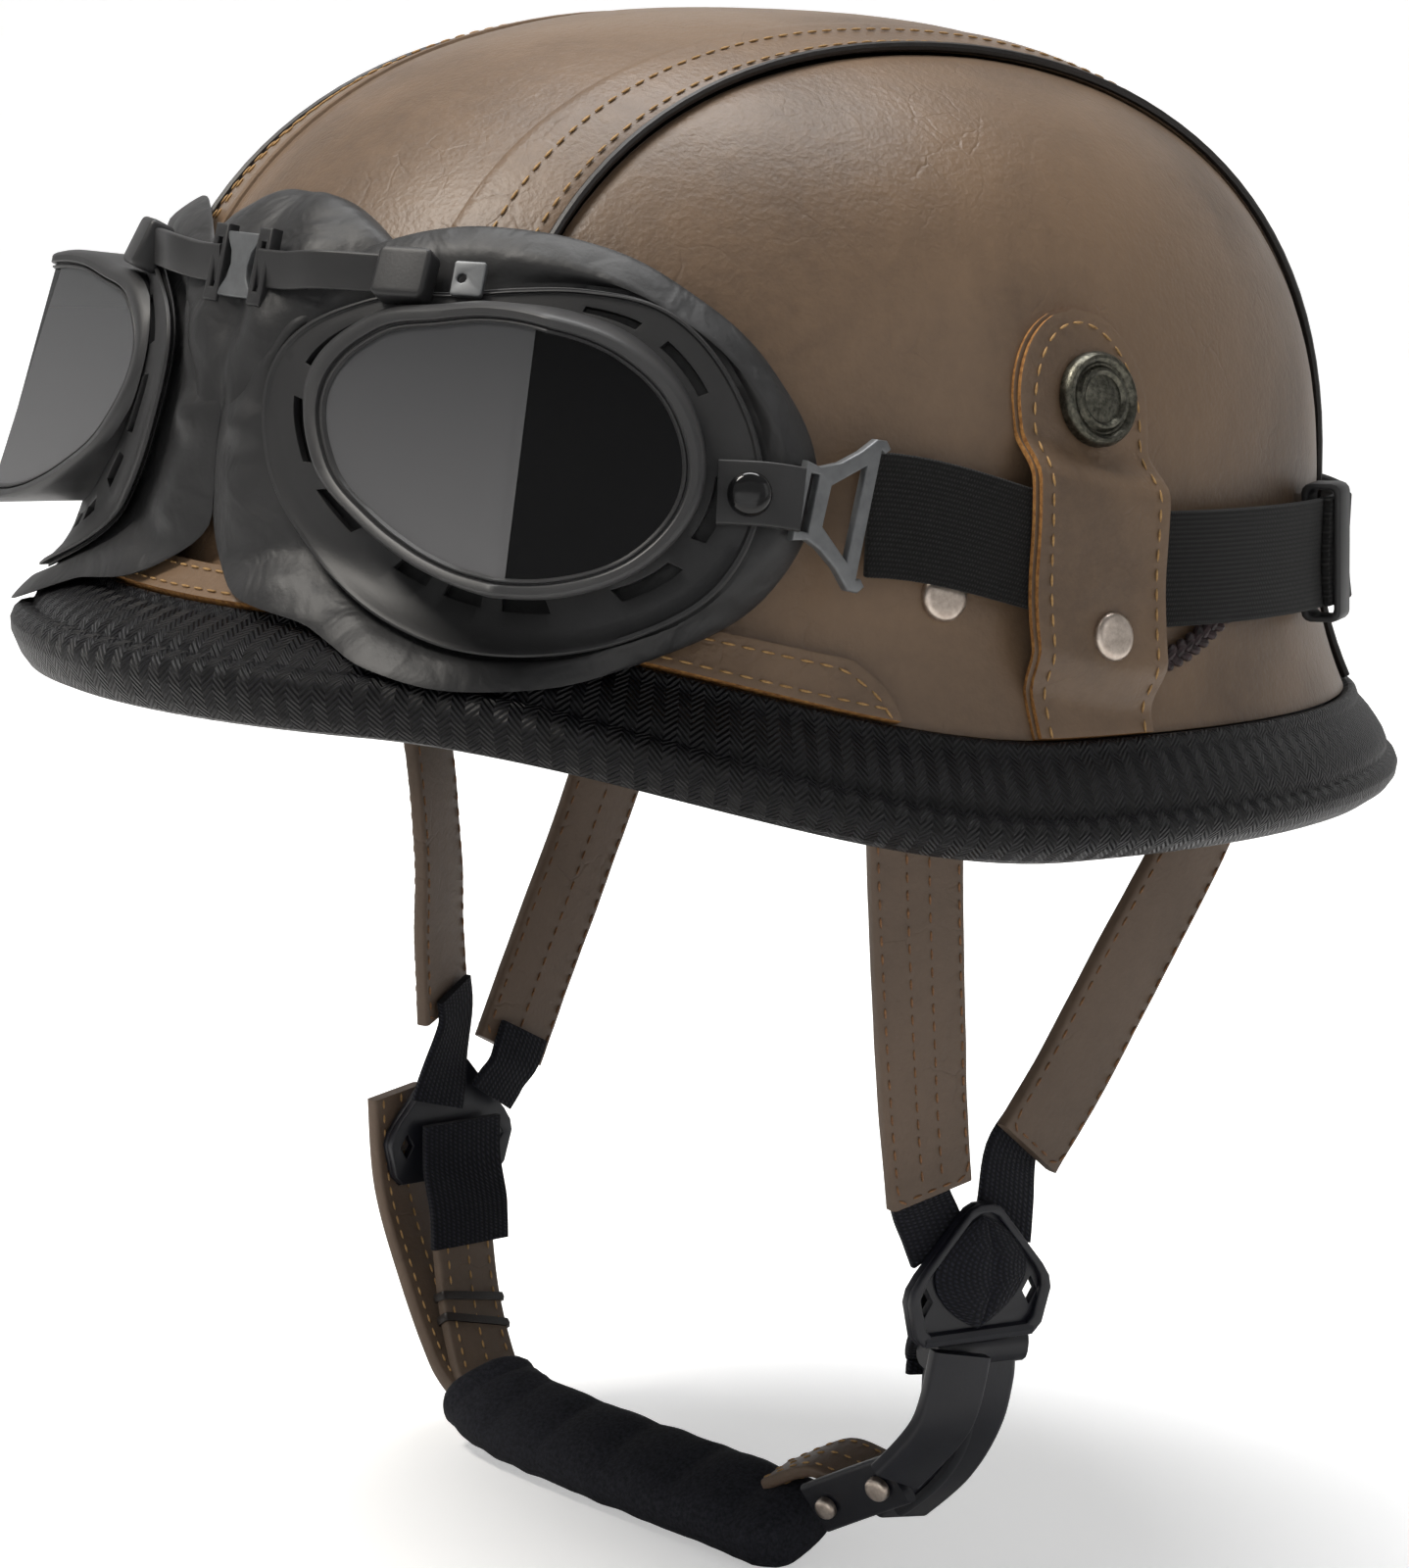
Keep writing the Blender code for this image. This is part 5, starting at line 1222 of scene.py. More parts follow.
def pane_reach(bearing, z):
    """The lens panes: the nearer of two leaning planes."""
    reach = []
    for turned_by in (math.radians(11), math.radians(53)):
        nx, ny = math.sin(turned_by), -math.cos(turned_by)
        ridge_x = RIDGE_X - 0.06 * (z - CUP_LEVEL) - CUP_AXIS_X
        ridge_y = RIDGE_Y + CUP_LEAN * (z - CUP_LEVEL) - CUP_AXIS_Y
        facing = math.sin(bearing) * nx - math.cos(bearing) * ny
        reach.append((ridge_x * nx + ridge_y * ny) / facing)
    return min(reach)


def reach_point(side, bearing, z, reach):
    x = CUP_AXIS_X + reach * math.sin(bearing)
    y = CUP_AXIS_Y - reach * math.cos(bearing)
    return Vector((side * x, y, z - HEAD_SEAT))


def cup_point(side, arc, z, proud):
    bearing = arc / CUP_RADIUS
    return reach_point(side, bearing, z, base_reach(bearing, z) + proud)


def pane_gap(station):
    """How far the lens panes stand proud of the flange's seat at a station."""
    bearing = station[0] / CUP_RADIUS
    return pane_reach(bearing, station[1]) - base_reach(bearing, station[1])


def between(one, two, share):
    return blend(one[0], two[0], share), blend(one[1], two[1], share)


CUP_TURNS = [2 * math.pi * step / CUP_STEPS for step in range(CUP_STEPS)]

# %% [markdown]
# ## Goggle cushions
#
# Behind each flange is a soft roll of foam in black leatherette. It bulges out past the flange,
# and it is gathered into small folds beside the nose, where the two cushions are squeezed.

# %% Cushions
def pad_point(side, station, up):
    bearing = station[0] / CUP_RADIUS
    return reach_point(side, bearing, station[1], shell_reach(bearing, station[1], PAD_SEAT) + up)


def pad_room(station):
    bearing = station[0] / CUP_RADIUS
    return base_reach(bearing, station[1]) - 1.8 * MM - shell_reach(bearing, station[1], PAD_SEAT)


def limit_to_nose(station):
    """Keeps the two cushions apart at the middle of the face."""
    bearing = math.asin((0.15 * MM - CUP_AXIS_X) / CUP_RADIUS)
    return max(station[0], bearing * CUP_RADIUS), station[1]


def pad_folds(around):
    """Gathers: close together and deep beside the nose, slow and shallow elsewhere."""
    near_nose = math.exp(-(((around - 3.25) / 0.6) ** 2))
    folds = math.sin(around * 19) + 0.6 * math.sin(around * 31 + 1.0)
    return 0.85 * MM * near_nose * folds + 0.3 * MM * math.sin(around * 9 + 0.7) * math.sin(around * 5)


def pad_section(side, around):
    fold = pad_folds(around)
    wider = 5.0 * MM * math.exp(-(((around - 3.3) / 0.5) ** 2))
    outer = limit_to_nose(cup_station("pad", around, wider - 1.5 * MM))
    bulge = limit_to_nose(cup_station("pad", around, wider + 0.4 * MM + fold * 0.4))
    crest = limit_to_nose(cup_station("pad", around, -4.0 * MM))
    under = limit_to_nose(cup_station("flange", around, 0.8 * MM))
    under_in = cup_station("lens", around, 0.5 * MM)
    under_mid = between(under, under_in, 0.5)
    inner = cup_station("lens", around, -2.0 * MM)
    roll = min(8.0 * MM, pad_room(crest) + 1.0 * MM)
    knots = [pad_point(side, outer, 0.0), pad_point(side, bulge, roll * 0.42)]
    knots += [pad_point(side, crest, roll + 0.8 * MM + fold), cup_point(side, *under, -1.6 * MM)]
    front = spline(knots, 5)
    back = [cup_point(side, *under_mid, -1.8 * MM), cup_point(side, *under_in, -1.8 * MM)]
    back += [pad_point(side, inner, 0.0), pad_point(side, under_mid, 0.0), pad_point(side, under, 0.0)]
    return front + back


def closed_ring(name, sections):
    mesh = surface(name, sections, wrap_along=True, wrap_across=True)
    if volume(mesh) < 0:
        mesh.flip_normals()
    return mesh


for word, side in SIDES:
    cushion = closed_ring("goggle_cushion_" + word, [pad_section(side, turn) for turn in CUP_TURNS])
    piece = shown("goggle_cushion_" + word, cushion, CUSHION_SKIN, ["goggle_pad_" + word], 50)
print("cushion faces", len(cushion.polygons))

# %% [markdown]
# ## Nose cushion
#
# The two cushions are one sewn cover, joined over the nose. The join is a soft saddle on the brow:
# full at both sides, with a valley down the middle and slanted folds where it is squeezed.

# %% Nose cushion
NOSE_LOW, NOSE_HIGH = 14 * MM, 59 * MM


def brow_point(x, z, proud):
    """The point of the brow at a place across it and a height."""
    around = -math.pi / 2
    for _ in range(8):
        around += (x - skin_point(around, z, proud).x) / HALF_LENGTH_FRONT
    return skin_point(around, z, proud)


def nose_mesh():
    rows = []
    for step in range(49):
        share = step / 48
        half = blend(7.0, 25.0, ease(share * 1.25)) * MM
        row = []
        for column in range(49):
            part = column / 24 - 1.0
            x = part * half
            z = blend(NOSE_LOW, NOSE_HIGH - 8.0 * MM * part * part, share)
            edge = math.sin(math.pi * min(1.0, 0.06 + 0.94 * share)) ** 0.35
            valley = 1.8 * MM * math.exp(-((x / (3.5 * MM)) ** 2)) + 3.5 * MM * abs(part) ** 5
            slant = math.sin(z / (3.3 * MM) + abs(x) / (2.2 * MM))
            slant += 0.5 * math.sin(z / (1.9 * MM) - abs(x) / (3 * MM))
            row.append(brow_point(x, z, 0.4 * MM + (7.6 * MM - valley + 0.35 * MM * slant) * edge))
        rows.append(row)
    mesh = surface("nose_cushion", rows)
    face_away(mesh, UNDER_SKULL)
    return mesh


nose = shown("nose_cushion", nose_mesh(), CUSHION_SKIN, sharp=60)
wall(nose, 0.35 * MM)

# %% [markdown]
# ## Goggle frame and rim
#
# The frame is a moulded flange with a thin raised edge and a ring of vent slots close to the rim.
# The rim stands up from it, bevelled outside, with a dark groove inside that holds the lens.

# %% Flange
VENT_PLACES = (2, 4, 11, 13, 15, 18, 20, 22, 25, 27)
FLANGE_SHARES = [(0.0, 0.0), (0.03, 0.55), (0.08, 0.6), (0.12, 0.05), (0.3, 0.0), (0.52, 0.0)]
FLANGE_SHARES += [(0.72, 0.0), (0.85, 0.0), (1.0, 0.0)]
SLOT_ROW = 5


def flange_mesh(side):
    rows = []
    for around in CUP_TURNS:
        outer, inner = cup_outline("flange", around), cup_outline("lens", around) + 1.2 * MM
        row = []
        for share, raised in FLANGE_SHARES:
            reach = blend(outer, inner, share)
            arc = CUP_CENTRE_ARC + reach * math.cos(around)
            z = CUP_CENTRE_Z + reach * math.sin(around)
            row.append(cup_point(side, arc, z, FLANGE_THICK + raised * MM))
        rows.append(row)
    mesh = surface("goggle_flange", rows, wrap_along=True)
    face_away(mesh, cup_point(side, CUP_CENTRE_ARC, CUP_CENTRE_Z, -60 * MM))
    return mesh


def cut_slots(mesh):
    """Opens a run of faces for each vent, found by their order in the mesh."""
    wide = len(FLANGE_SHARES) - 1
    work = bmesh.new()
    work.from_mesh(mesh)
    work.faces.ensure_lookup_table()
    per_place = CUP_STEPS // 28
    gone = []
    for place in VENT_PLACES:
        for step in range(-1, per_place + 1):
            gone.append(work.faces[((place * per_place + step) % CUP_STEPS) * wide + SLOT_ROW])
    bmesh.ops.delete(work, geom=gone, context="FACES")
    work.to_mesh(mesh)
    work.free()
    return mesh


for word, side in SIDES:
    mesh = cut_slots(flange_mesh(side))
    flange = shown("flange_" + word, mesh, FLANGE_ABS, ["goggle_frame_" + word], 40)
    wall(flange, FLANGE_THICK)

# %% Rims and lenses
RIM_STEPS = [(0.0, -0.6), (0.1, 0.6), (0.22, 1.25), (0.34, 1.5), (0.66, 1.35), (0.74, 1.1)]
RIM_STEPS += [(0.78, 0.2), (0.86, 0.15), (0.92, 0.7)]


def rim_section(side, around):
    outline, lens = cup_station("rim", around), cup_station("lens", around)
    base = FLANGE_THICK + 0.1 * MM
    points = [cup_point(side, *cup_station("rim", around, -0.8 * MM), base)]
    for share, raised in RIM_STEPS:
        station = between(outline, lens, share)
        points.append(cup_point(side, *station, max(base + 0.4 * MM, pane_gap(station) + raised * MM)))
    points.append(cup_point(side, *lens, pane_gap(lens) + 0.75 * MM))
    inside = cup_station("lens", around, -0.4 * MM)
    points.append(cup_point(side, *inside, pane_gap(inside) + 0.1 * MM))
    foot = cup_station("lens", around, 0.4 * MM)
    points.append(cup_point(side, *foot, min(base, pane_gap(foot))))
    return points


def keep_side(outline, cut, direction):
    """The part of a closed outline on one side of a cut."""
    kept = []
    for one, two in zip(outline, outline[1:] + outline[:1]):
        one_in, two_in = (direction * (point[0] - cut) >= 0 for point in (one, two))
        if one_in:
            kept.append(one)
        if one_in != two_in:
            share = (cut - one[0]) / (two[0] - one[0])
            kept.append((cut, blend(one[1], two[1], share)))
    return kept


def lens_mesh(side, direction):
    bearing = math.atan2(RIDGE_X - CUP_AXIS_X, -(RIDGE_Y - CUP_AXIS_Y))
    outline = [cup_station("lens", turn, -0.2 * MM) for turn in CUP_TURNS]
    kept = keep_side(outline, bearing * CUP_RADIUS + direction * 0.06 * MM, direction)
    sheets = []
    for depth in (-LENS_THICK, 0.0):
        places = [(arc / CUP_RADIUS, z) for arc, z in kept]
        sheets.append([reach_point(side, b, z, pane_reach(b, z) + depth) for b, z in places])
    mesh = surface("lens", sheets, wrap_across=True, cap_ends=True)
    if volume(mesh) < 0:
        mesh.flip_normals()
    return mesh


for word, side in SIDES:
    mesh = closed_ring("rim_" + word, [rim_section(side, turn) for turn in CUP_TURNS])
    shown("lens_rim_" + word, mesh, RIM_ABS, ["goggle_rim_" + word], 32)
    shown("front_pane_" + word, lens_mesh(side, -1), FRONT_LENS, ["lens_front_" + word], 20)
    shown("side_pane_" + word, lens_mesh(side, 1), SIDE_LENS, ["lens_side_" + word], 20)

# %% [markdown]
# ## Flat hardware
#
# Links, hooks, the nose clip and the adjusters are plates, stamped or moulded. A flat curve with
# holes, extruded with a small bevel, gives just that, and is turned to a mesh before it is placed.

# %% Plate helper
def plate(name, outlines, thickness, place, across, normal, bevel=0.3 * MM):
    sheet = bpy.data.curves.new(name, "CURVE")
    sheet.dimensions = "2D"
    sheet.fill_mode = "BOTH"
    sheet.extrude = thickness / 2 - bevel
    sheet.bevel_depth = bevel
    sheet.bevel_resolution = 2
    sheet.offset = -bevel
    for outline in outlines:
        line = sheet.splines.new("POLY")
        line.points.add(len(outline) - 1)
        for knot, (a, b) in zip(line.points, outline):
            knot.co = (a, b, 0.0, 1.0)
        line.use_cyclic_u = True
    holder = bpy.data.objects.new(name, sheet)
    bpy.context.scene.collection.objects.link(holder)
    bpy.context.view_layer.update()
    graph = bpy.context.evaluated_depsgraph_get()
    mesh = bpy.data.meshes.new_from_object(holder.evaluated_get(graph))
    bpy.data.objects.remove(holder, do_unlink=True)
    z_axis = Vector(normal).normalized()
    x_axis = Vector(across)
    x_axis = (x_axis - z_axis * x_axis.dot(z_axis)).normalized()
    turn_plate = Matrix((x_axis, z_axis.cross(x_axis), z_axis)).transposed().to_4x4()
    mesh.transform(Matrix.Translation(place) @ turn_plate)
    work = bmesh.new()
    work.from_mesh(mesh)
    bmesh.ops.remove_doubles(work, verts=work.verts, dist=0.002 * MM)
    bmesh.ops.recalc_face_normals(work, faces=work.faces)
    work.to_mesh(mesh)
    work.free()
    return mesh


def scaled(outline):
    return [(a * MM, b * MM) for a, b in outline]


def at(x, y, z):
    """A place in millimetres above the waist, in the frame's metres."""
    return Vector((x, y, z)) * MM - Vector((0, 0, HEAD_SEAT))


def cup_seat(side, arc, z, proud):
    """A place on an eyecup with the directions along it and out of it."""
    place = cup_point(side, arc, z, proud)
    along = cup_point(side, arc + 2 * MM, z, proud) - cup_point(side, arc - 2 * MM, z, proud)
    up = cup_point(side, arc, z + 2 * MM, proud) - cup_point(side, arc, z - 2 * MM, proud)
    normal = along.normalized().cross(up.normalized()) * side
    return place, along, normal


# %% Nose clip and bridge straps
CLIP_OUTLINE = [(-5, -6), (5, -6), (4.6, -4.6), (3.0, -2.4), (2.5, 0), (3.0, 2.4), (4.6, 4.6)]
CLIP_OUTLINE += [(5, 6), (-5, 6), (-4.6, 4.6), (-3.0, 2.4), (-2.5, 0), (-3.0, -2.4), (-4.6, -4.6)]
CLIP_FACING = ((1, 0, 0), (0, -1, 0.2))
clip = plate("nose_clip", [scaled(CLIP_OUTLINE)], 1.8 * MM, at(0, -131, 46), *CLIP_FACING, 0.4 * MM)
shown("nose_clip", clip, GREY_ZINC, ["bridge_clip"])
for word, side in SIDES:
    loop = [(-2.0, -7.2), (2.0, -7.2), (2.0, 7.2), (-2.0, 7.2)]
    hole = [(-0.7, -4.6), (0.7, -4.6), (0.7, 4.6), (-0.7, 4.6)]
    loop_place = at(side * 6.6, -130.8, 46)
    frame_loop = plate("loop", [scaled(loop), scaled(hole)], 2.8 * MM, loop_place, *CLIP_FACING, 0.5 * MM)
    knots = [at(side * 5.8, -131, 46), at(side * 13, -131, 46), at(side * 21, -130.8, 46.8)]
    knots += [cup_point(side, 33 * MM, 47 * MM, 4.4 * MM), cup_point(side, 44 * MM, 47 * MM, 3.4 * MM)]
    ribbon = swept("ribbon", spline(knots, 6), (0, 0, 1), rounded_section(7.0 * MM, 1.8 * MM, 0.5 * MM))
    block = rounded_section(10.5 * MM, 9.6 * MM, 1.4 * MM)
    block_mesh = plate("block", [block], 5.2 * MM, *cup_seat(side, 46 * MM, 47 * MM, 4.4 * MM), 0.9 * MM)
    both = joined("bridge_band", [frame_loop, ribbon, block_mesh])
    shown("bridge_band_" + word, both, FLANGE_ABS, ["bridge_strap_" + word])
    tab = rounded_section(6.0 * MM, 6.6 * MM, 0.6 * MM)
    hole = [(a * 0.9 * MM - 1.2 * MM, b * 0.9 * MM) for a, b in ROUND]
    metal_tab = plate("end_tab", [tab, hole], 1.4 * MM, *cup_seat(side, 57.5 * MM, 47 * MM, 3.4 * MM))
    shown("bridge_tab_" + word, metal_tab, GREY_ZINC)

# %% Pivots, links and hooks
PIVOT_ARC, PIVOT_Z = 110.5 * MM, 13.0 * MM
HOOK_OUTLINE = [(0, 7.2), (3.4, 6.6), (8, 8.2), (12.4, 11.0), (15.6, 13.8), (18.0, 14.0)]
HOOK_OUTLINE += [(19.4, 12.6), (18.2, 11.6), (17.2, 12.0), (17.2, -11.6), (18.4, -11.2)]
HOOK_OUTLINE += [(19.6, -12.4), (18.2, -13.8), (15.6, -13.8), (11.6, -10.4), (7, -7.8)]
HOOK_OUTLINE += [(3.4, -6.6), (0, -7.2)]
HOOK_SLOT = [(1.4, -5.2), (3.4, -5.2), (3.4, 5.2), (1.4, 5.2)]
HOOK_WINDOW = [(6.6, -3.6), (14.2, -8.8), (14.4, 8.8), (6.8, 3.8)]

for word, side in SIDES:
    place, along, normal = cup_seat(side, PIVOT_ARC, PIVOT_Z, 5.2 * MM)
    profile = [(r * 4.0 * MM, h * 3.0 * MM) for r, h in RIVET_PROFILE]
    cap, node = "pivot_cap_" + word, "pivot_button_" + word
    round_cap(cap, profile, place, normal, GLOSS_ABS, node)
    path = [cup_point(side, PIVOT_ARC + shift * MM, PIVOT_Z, 3.4 * MM) for shift in (-5.5, 2.5)]
    path += [cup_point(side, PIVOT_ARC + 9.0 * MM, PIVOT_Z - 0.8 * MM, 1.8 * MM)]
    top = cup_point(side, PIVOT_ARC, PIVOT_Z + 4 * MM, 0.0)
    top -= cup_point(side, PIVOT_ARC, PIVOT_Z - 4 * MM, 0.0)
    link = swept("link", spline(path, 6), top, rounded_section(11.5 * MM, 1.8 * MM, 0.5 * MM))
    shown("pivot_link_" + word, link, FLANGE_ABS, ["strap_link_" + word])
    front, back = at(side * 97.6, -80.4, 11.8), at(side * 97.8, -61.4, 7.9)
    along = back - front
    normal = Vector((0, 0, 1)).cross(along).normalized()
    normal = normal if normal.x * side > 0 else -normal
    upward = 1.0 if normal.cross(along).z > 0 else -1.0
    shapes = (HOOK_OUTLINE, HOOK_SLOT, HOOK_WINDOW)
    outlines = [[(a * MM, b * MM * upward) for a, b in shape] for shape in shapes]
    hook = plate("hook", outlines, 2.0 * MM, front, along, normal, 0.45 * MM)
    shown("zinc_hook_" + word, hook, GREY_ZINC, ["strap_hook_" + word])
print("goggle hardware placed")

# %% [markdown]
# ## Head straps
#
# Four leather straps hang from inside the shell, two on each side, and meet at a plastic
# adjuster. Each is doubled leather sewn along its length, so it is a flat section swept along a
# curve, with rows of thread on both faces. Black webbing joins them to the adjusters.

# %% Head straps
STRAP_WIDTH, STRAP_THICK = 19.8 * MM, 3.0 * MM
WEB_WIDTH, WEB_THICK = 14.0 * MM, 1.6 * MM
HEAD_STRAPS = {
    "front_strap_left": {
        "side": 1,
        "seat": ((-42, -4), (-40, -24)),
        "hang": ((89.5, -38, -45), (87.5, -36, -58), (85, -30.5, -85), (83, -25.5, -108), (82, -21.6, -125)),
        "turns": (72, 72, 74, 76, 80, 84, 86),
        "rows": (-8.6, -2.6, 2.2, 8.6),
    },
    "front_strap_right": {
        "side": -1,
        "seat": ((-36, -4), (-32, -22)),
        "hang": ((-86, -23, -43), (-81, -18, -57), (-78.5, -15, -84), (-81, -11.5, -104), (-83, -8.0, -121)),
        "turns": (108, 108, 112, 118, 118, 116, 114),
        "rows": (-8.6, 8.6),
    },
    "rear_strap_left": {
        "side": 1,
        "seat": ((58, -4), (54, -24)),
        "hang": ((89, 49, -46), (86.5, 42.5, -60), (85, 26.5, -85), (84, 13.5, -105), (83, 3.5, -119)),
        "turns": (114, 112, 98, 92, 90, 90, 90),
        "rows": (-8.6, 8.6),
    },
    "rear_strap_right": {
        "side": -1,
        "seat": ((58, -4), (54, -24)),
        "hang": ((-89, 49, -46), (-86, 43, -62), (-84.5, 30.5, -90), (-83, 19.5, -112), (-81.5, 9.7, -132)),
        "turns": (66, 68, 82, 90, 92, 92, 92),
        "rows": (-8.6, 0.0, 8.6),
    },
}


def flat_direction(degrees):
    return Vector((math.cos(math.radians(degrees)), math.sin(math.radians(degrees)), 0.0))


def strap_knots(row):
    proud = SHELL_IN - REST_GAP - STRAP_THICK / 2 - 2.8 * MM
    seats = [side_point(row["side"], y * MM, z * MM, proud) for y, z in row["seat"]]
    return seats + [at(*place) for place in row["hang"]]


def offset_line(path, across, shift, lift):
    return [place + flat * shift + up * lift for place, flat, up in frames_along(path, across)]


def band_loop(path, across, half, lift):
    """A stitch line that runs down one side of a strap, across its end and up the other."""
    frames = frames_along(path, across)
    down = [place - flat * half + up * lift for place, flat, up in frames[:-1]]
    back = [place + flat * half + up * lift for place, flat, up in frames[:-1]]
    return down + back[::-1]


for name, row in HEAD_STRAPS.items():
    steps = 8
    path = spline(strap_knots(row), steps)
    turns = row["turns"] + row["turns"][-1:]
    across = []
    for index in range(len(path)):
        knot, part = index // steps, (index % steps) / steps
        across.append(flat_direction(blend(turns[knot], turns[knot + 1], part)))
    section = rounded_section(STRAP_WIDTH, STRAP_THICK, 0.9 * MM)
    mesh = roughen(swept("leather_" + name, path, across, section), 0.12 * MM, 12 * MM)
    shown("leather_" + name, mesh, STRAP_HIDE, [name])
    lines = []
    for lift in (-1, 1):
        height = lift * (STRAP_THICK / 2 + 0.12 * MM)
        lines.append(band_loop(path, across, 8.6 * MM, height))
        middle_rows = [shift for shift in row["rows"] if abs(shift) < 8]
        lines += [offset_line(path, across, shift * MM, height)[:-3] for shift in middle_rows]
    stitches("thread_" + name, lines, 3.6 * MM, 2.3 * MM, 0.5 * MM, STRAP_THREAD)

# %% [markdown]
# ## Adjusters and webbing
#
# Each adjuster is a moulded triangle with two small diamond windows. Its rim is raised, and the
# folded webbing swells in its middle like a leaf. The webbing runs behind it and on to the chin.

# %% Adjusters
ADJUSTERS = {
    "left": {"place": (83.4, -8.4, -141.6), "turn": 82, "side": 1, "layer": 0.0},
    "right": {"place": (-84.8, -3.4, -146), "turn": 90, "side": -1, "layer": 0.8},
}
ADJUSTER_THICK = 3.0 * MM
ADJUSTER_OUTLINE = [(-13.3, -13.5), (13.3, -13.5), (15.2, -11.6), (17.0, -4.7), (16.4, -2.2), (14.6, 0.4)]
ADJUSTER_OUTLINE += [(3.6, 12.6), (1.6, 13.5), (-1.6, 13.5), (-3.6, 12.6), (-14.6, 0.4)]
ADJUSTER_OUTLINE += [(-16.4, -2.2), (-17.0, -4.7), (-15.2, -11.6)]


def adjuster_frame(row):
    across = flat_direction(row["turn"])
    normal = Vector((across.y, -across.x, 0.0)) * row["side"]
    return at(*row["place"]), across, normal, normal.cross(across)


def leaf_mesh(row):
    """Folded webbing: two swelling halves that meet in a curved crease."""
    place, across, normal, up = adjuster_frame(row)
    tall = 1 if up.z > 0 else -1
    rows = []
    for step in range(25):
        share = step / 24
        half = 11.0 * MM * math.sin(math.pi * share) ** 0.8 + 0.05 * MM
        bend = 2.0 * MM * math.sin(math.pi * share)
        height = blend(-11.4, 11.2, share) * MM
        row_points = []
        for part in (-1.0, -0.85, -0.6, -0.35, -0.12, 0.0, 0.12, 0.35, 0.6, 0.85, 1.0):
            swell = (1 - abs(part) ** 2.2) - 0.35 * math.exp(-((part / 0.13) ** 2))
            out = 1.0 * MM + 2.0 * MM * swell * math.sin(math.pi * share) ** 0.5
            side_shift = part * half + bend * (1 - abs(part))
            row_points.append(place + across * side_shift + up * tall * height + normal * out)
        rows.append(row_points)
    mesh = surface("leaf", rows)
    face_away(mesh, place - normal * 20 * MM)
    return mesh


def adjuster_parts(row):
    place, across, normal, up = adjuster_frame(row)
    tall = 1 if up.z > 0 else -1
    outline = [(a * MM, b * MM * tall) for a, b in ADJUSTER_OUTLINE]
    windows = []
    for middle in (-12.6, 12.6):
        diamond = [(middle - 1.7, -5.1), (middle, -7.9), (middle + 1.7, -5.1), (middle, -2.3)]
        windows.append([(a * MM, b * MM * tall) for a, b in diamond])
    thick, low = ADJUSTER_THICK - 1.0 * MM, place - normal * 0.5 * MM
    body = plate("adjuster_body", [outline] + windows, thick, low, across, normal)
    inner = [(a * 0.86, b * 0.86) for a, b in outline]
    high = place + normal * 1.0 * MM
    rim = plate("adjuster_rim", [outline, inner], 1.6 * MM, high, across, normal, 0.45 * MM)
    bar_half = 13.0 * MM
    bar = place - up * tall * 12.6 * MM + normal * 0.6 * MM
    bar_path = [bar + across * s * bar_half for s in (-1, -0.5, 0, 0.5, 1)]
    bar = swept("bar", bar_path, normal, [(a * 1.5 * MM, b * 1.5 * MM) for a, b in ROUND])
    return joined("adjuster", [body, rim, bar])


for word, row in ADJUSTERS.items():
    mesh = adjuster_parts(row)
    shown("moulded_adjuster_" + word, mesh, BUCKLE_NYLON, ["adjuster_" + word])
    shown("folded_web_" + word, leaf_mesh(row), WEBBING_CLOTH)

# %% Webbing
def behind_adjuster(row, layer, shift, rise):
    place, across, normal, up = adjuster_frame(row)
    depth = ADJUSTER_THICK / 2 + 2 * REST_GAP + WEB_THICK / 2 + layer * (WEB_THICK + 2 * REST_GAP)
    return place - normal * depth + across * shift * MM + Vector((0, 0, rise * MM))


def webbing_path(row, strap_row, shift):
    knots = strap_knots(strap_row)
    ahead = (knots[-1] - knots[-2]).normalized()
    normal = flat_direction(strap_row["turns"][-1]).cross(ahead).normalized()
    normal = normal if normal.x * row["side"] > 0 else -normal
    inward = normal * (STRAP_THICK / 2 + WEB_THICK / 2 + 2 * REST_GAP)
    out = knots[-1] + ahead * 2 * MM - inward
    place = behind_adjuster(row, row["layer"], shift, 4.5)
    return [knots[-1] - ahead * 5 * MM - inward, out, out.lerp(place, 0.55), place]


for word, row in ADJUSTERS.items():
    for kind, shift in (("front", -7.5), ("rear", 7.5)):
        strap_row = HEAD_STRAPS[kind + "_strap_" + word]
        path = spline(webbing_path(row, strap_row, shift), 6)
        shares = [ease((i - 6) / (len(path) - 7)) for i in range(len(path))]
        across = [flat_direction(blend(strap_row["turns"][-1], row["turn"], share)) for share in shares]
        tape = swept("tape", path, across, rounded_section(WEB_WIDTH, WEB_THICK, 0.5 * MM))
        shown(kind + "_tape_" + word, tape, WEBBING_CLOTH, [kind + "_webbing_" + word])

CHIN_WEBS = {"left": ((71.5, -2, -160), (71, -2, -166)), "right": ((-75, -5, -164), (-74, -5, -172))}
for word, row in ADJUSTERS.items():
    knots = [behind_adjuster(row, 0.6, 0.0, 0.0), behind_adjuster(row, 0.9, 0.0, -9.0)]
    path = spline(knots + [at(*knot) for knot in CHIN_WEBS[word]], 8)
    tape = swept("tape", path, flat_direction(row["turn"]), rounded_section(21 * MM, WEB_THICK, 0.5 * MM))
    shown("chin_tape_" + word, tape, WEBBING_CLOTH, ["chin_webbing_" + word])

# %% [markdown]
# ## Chin strap
#
# The chin strap is in short pieces: sewn leather and a slack tail on the right, a padded sleeve
# in the middle, and the buckle with its tongue on the left.

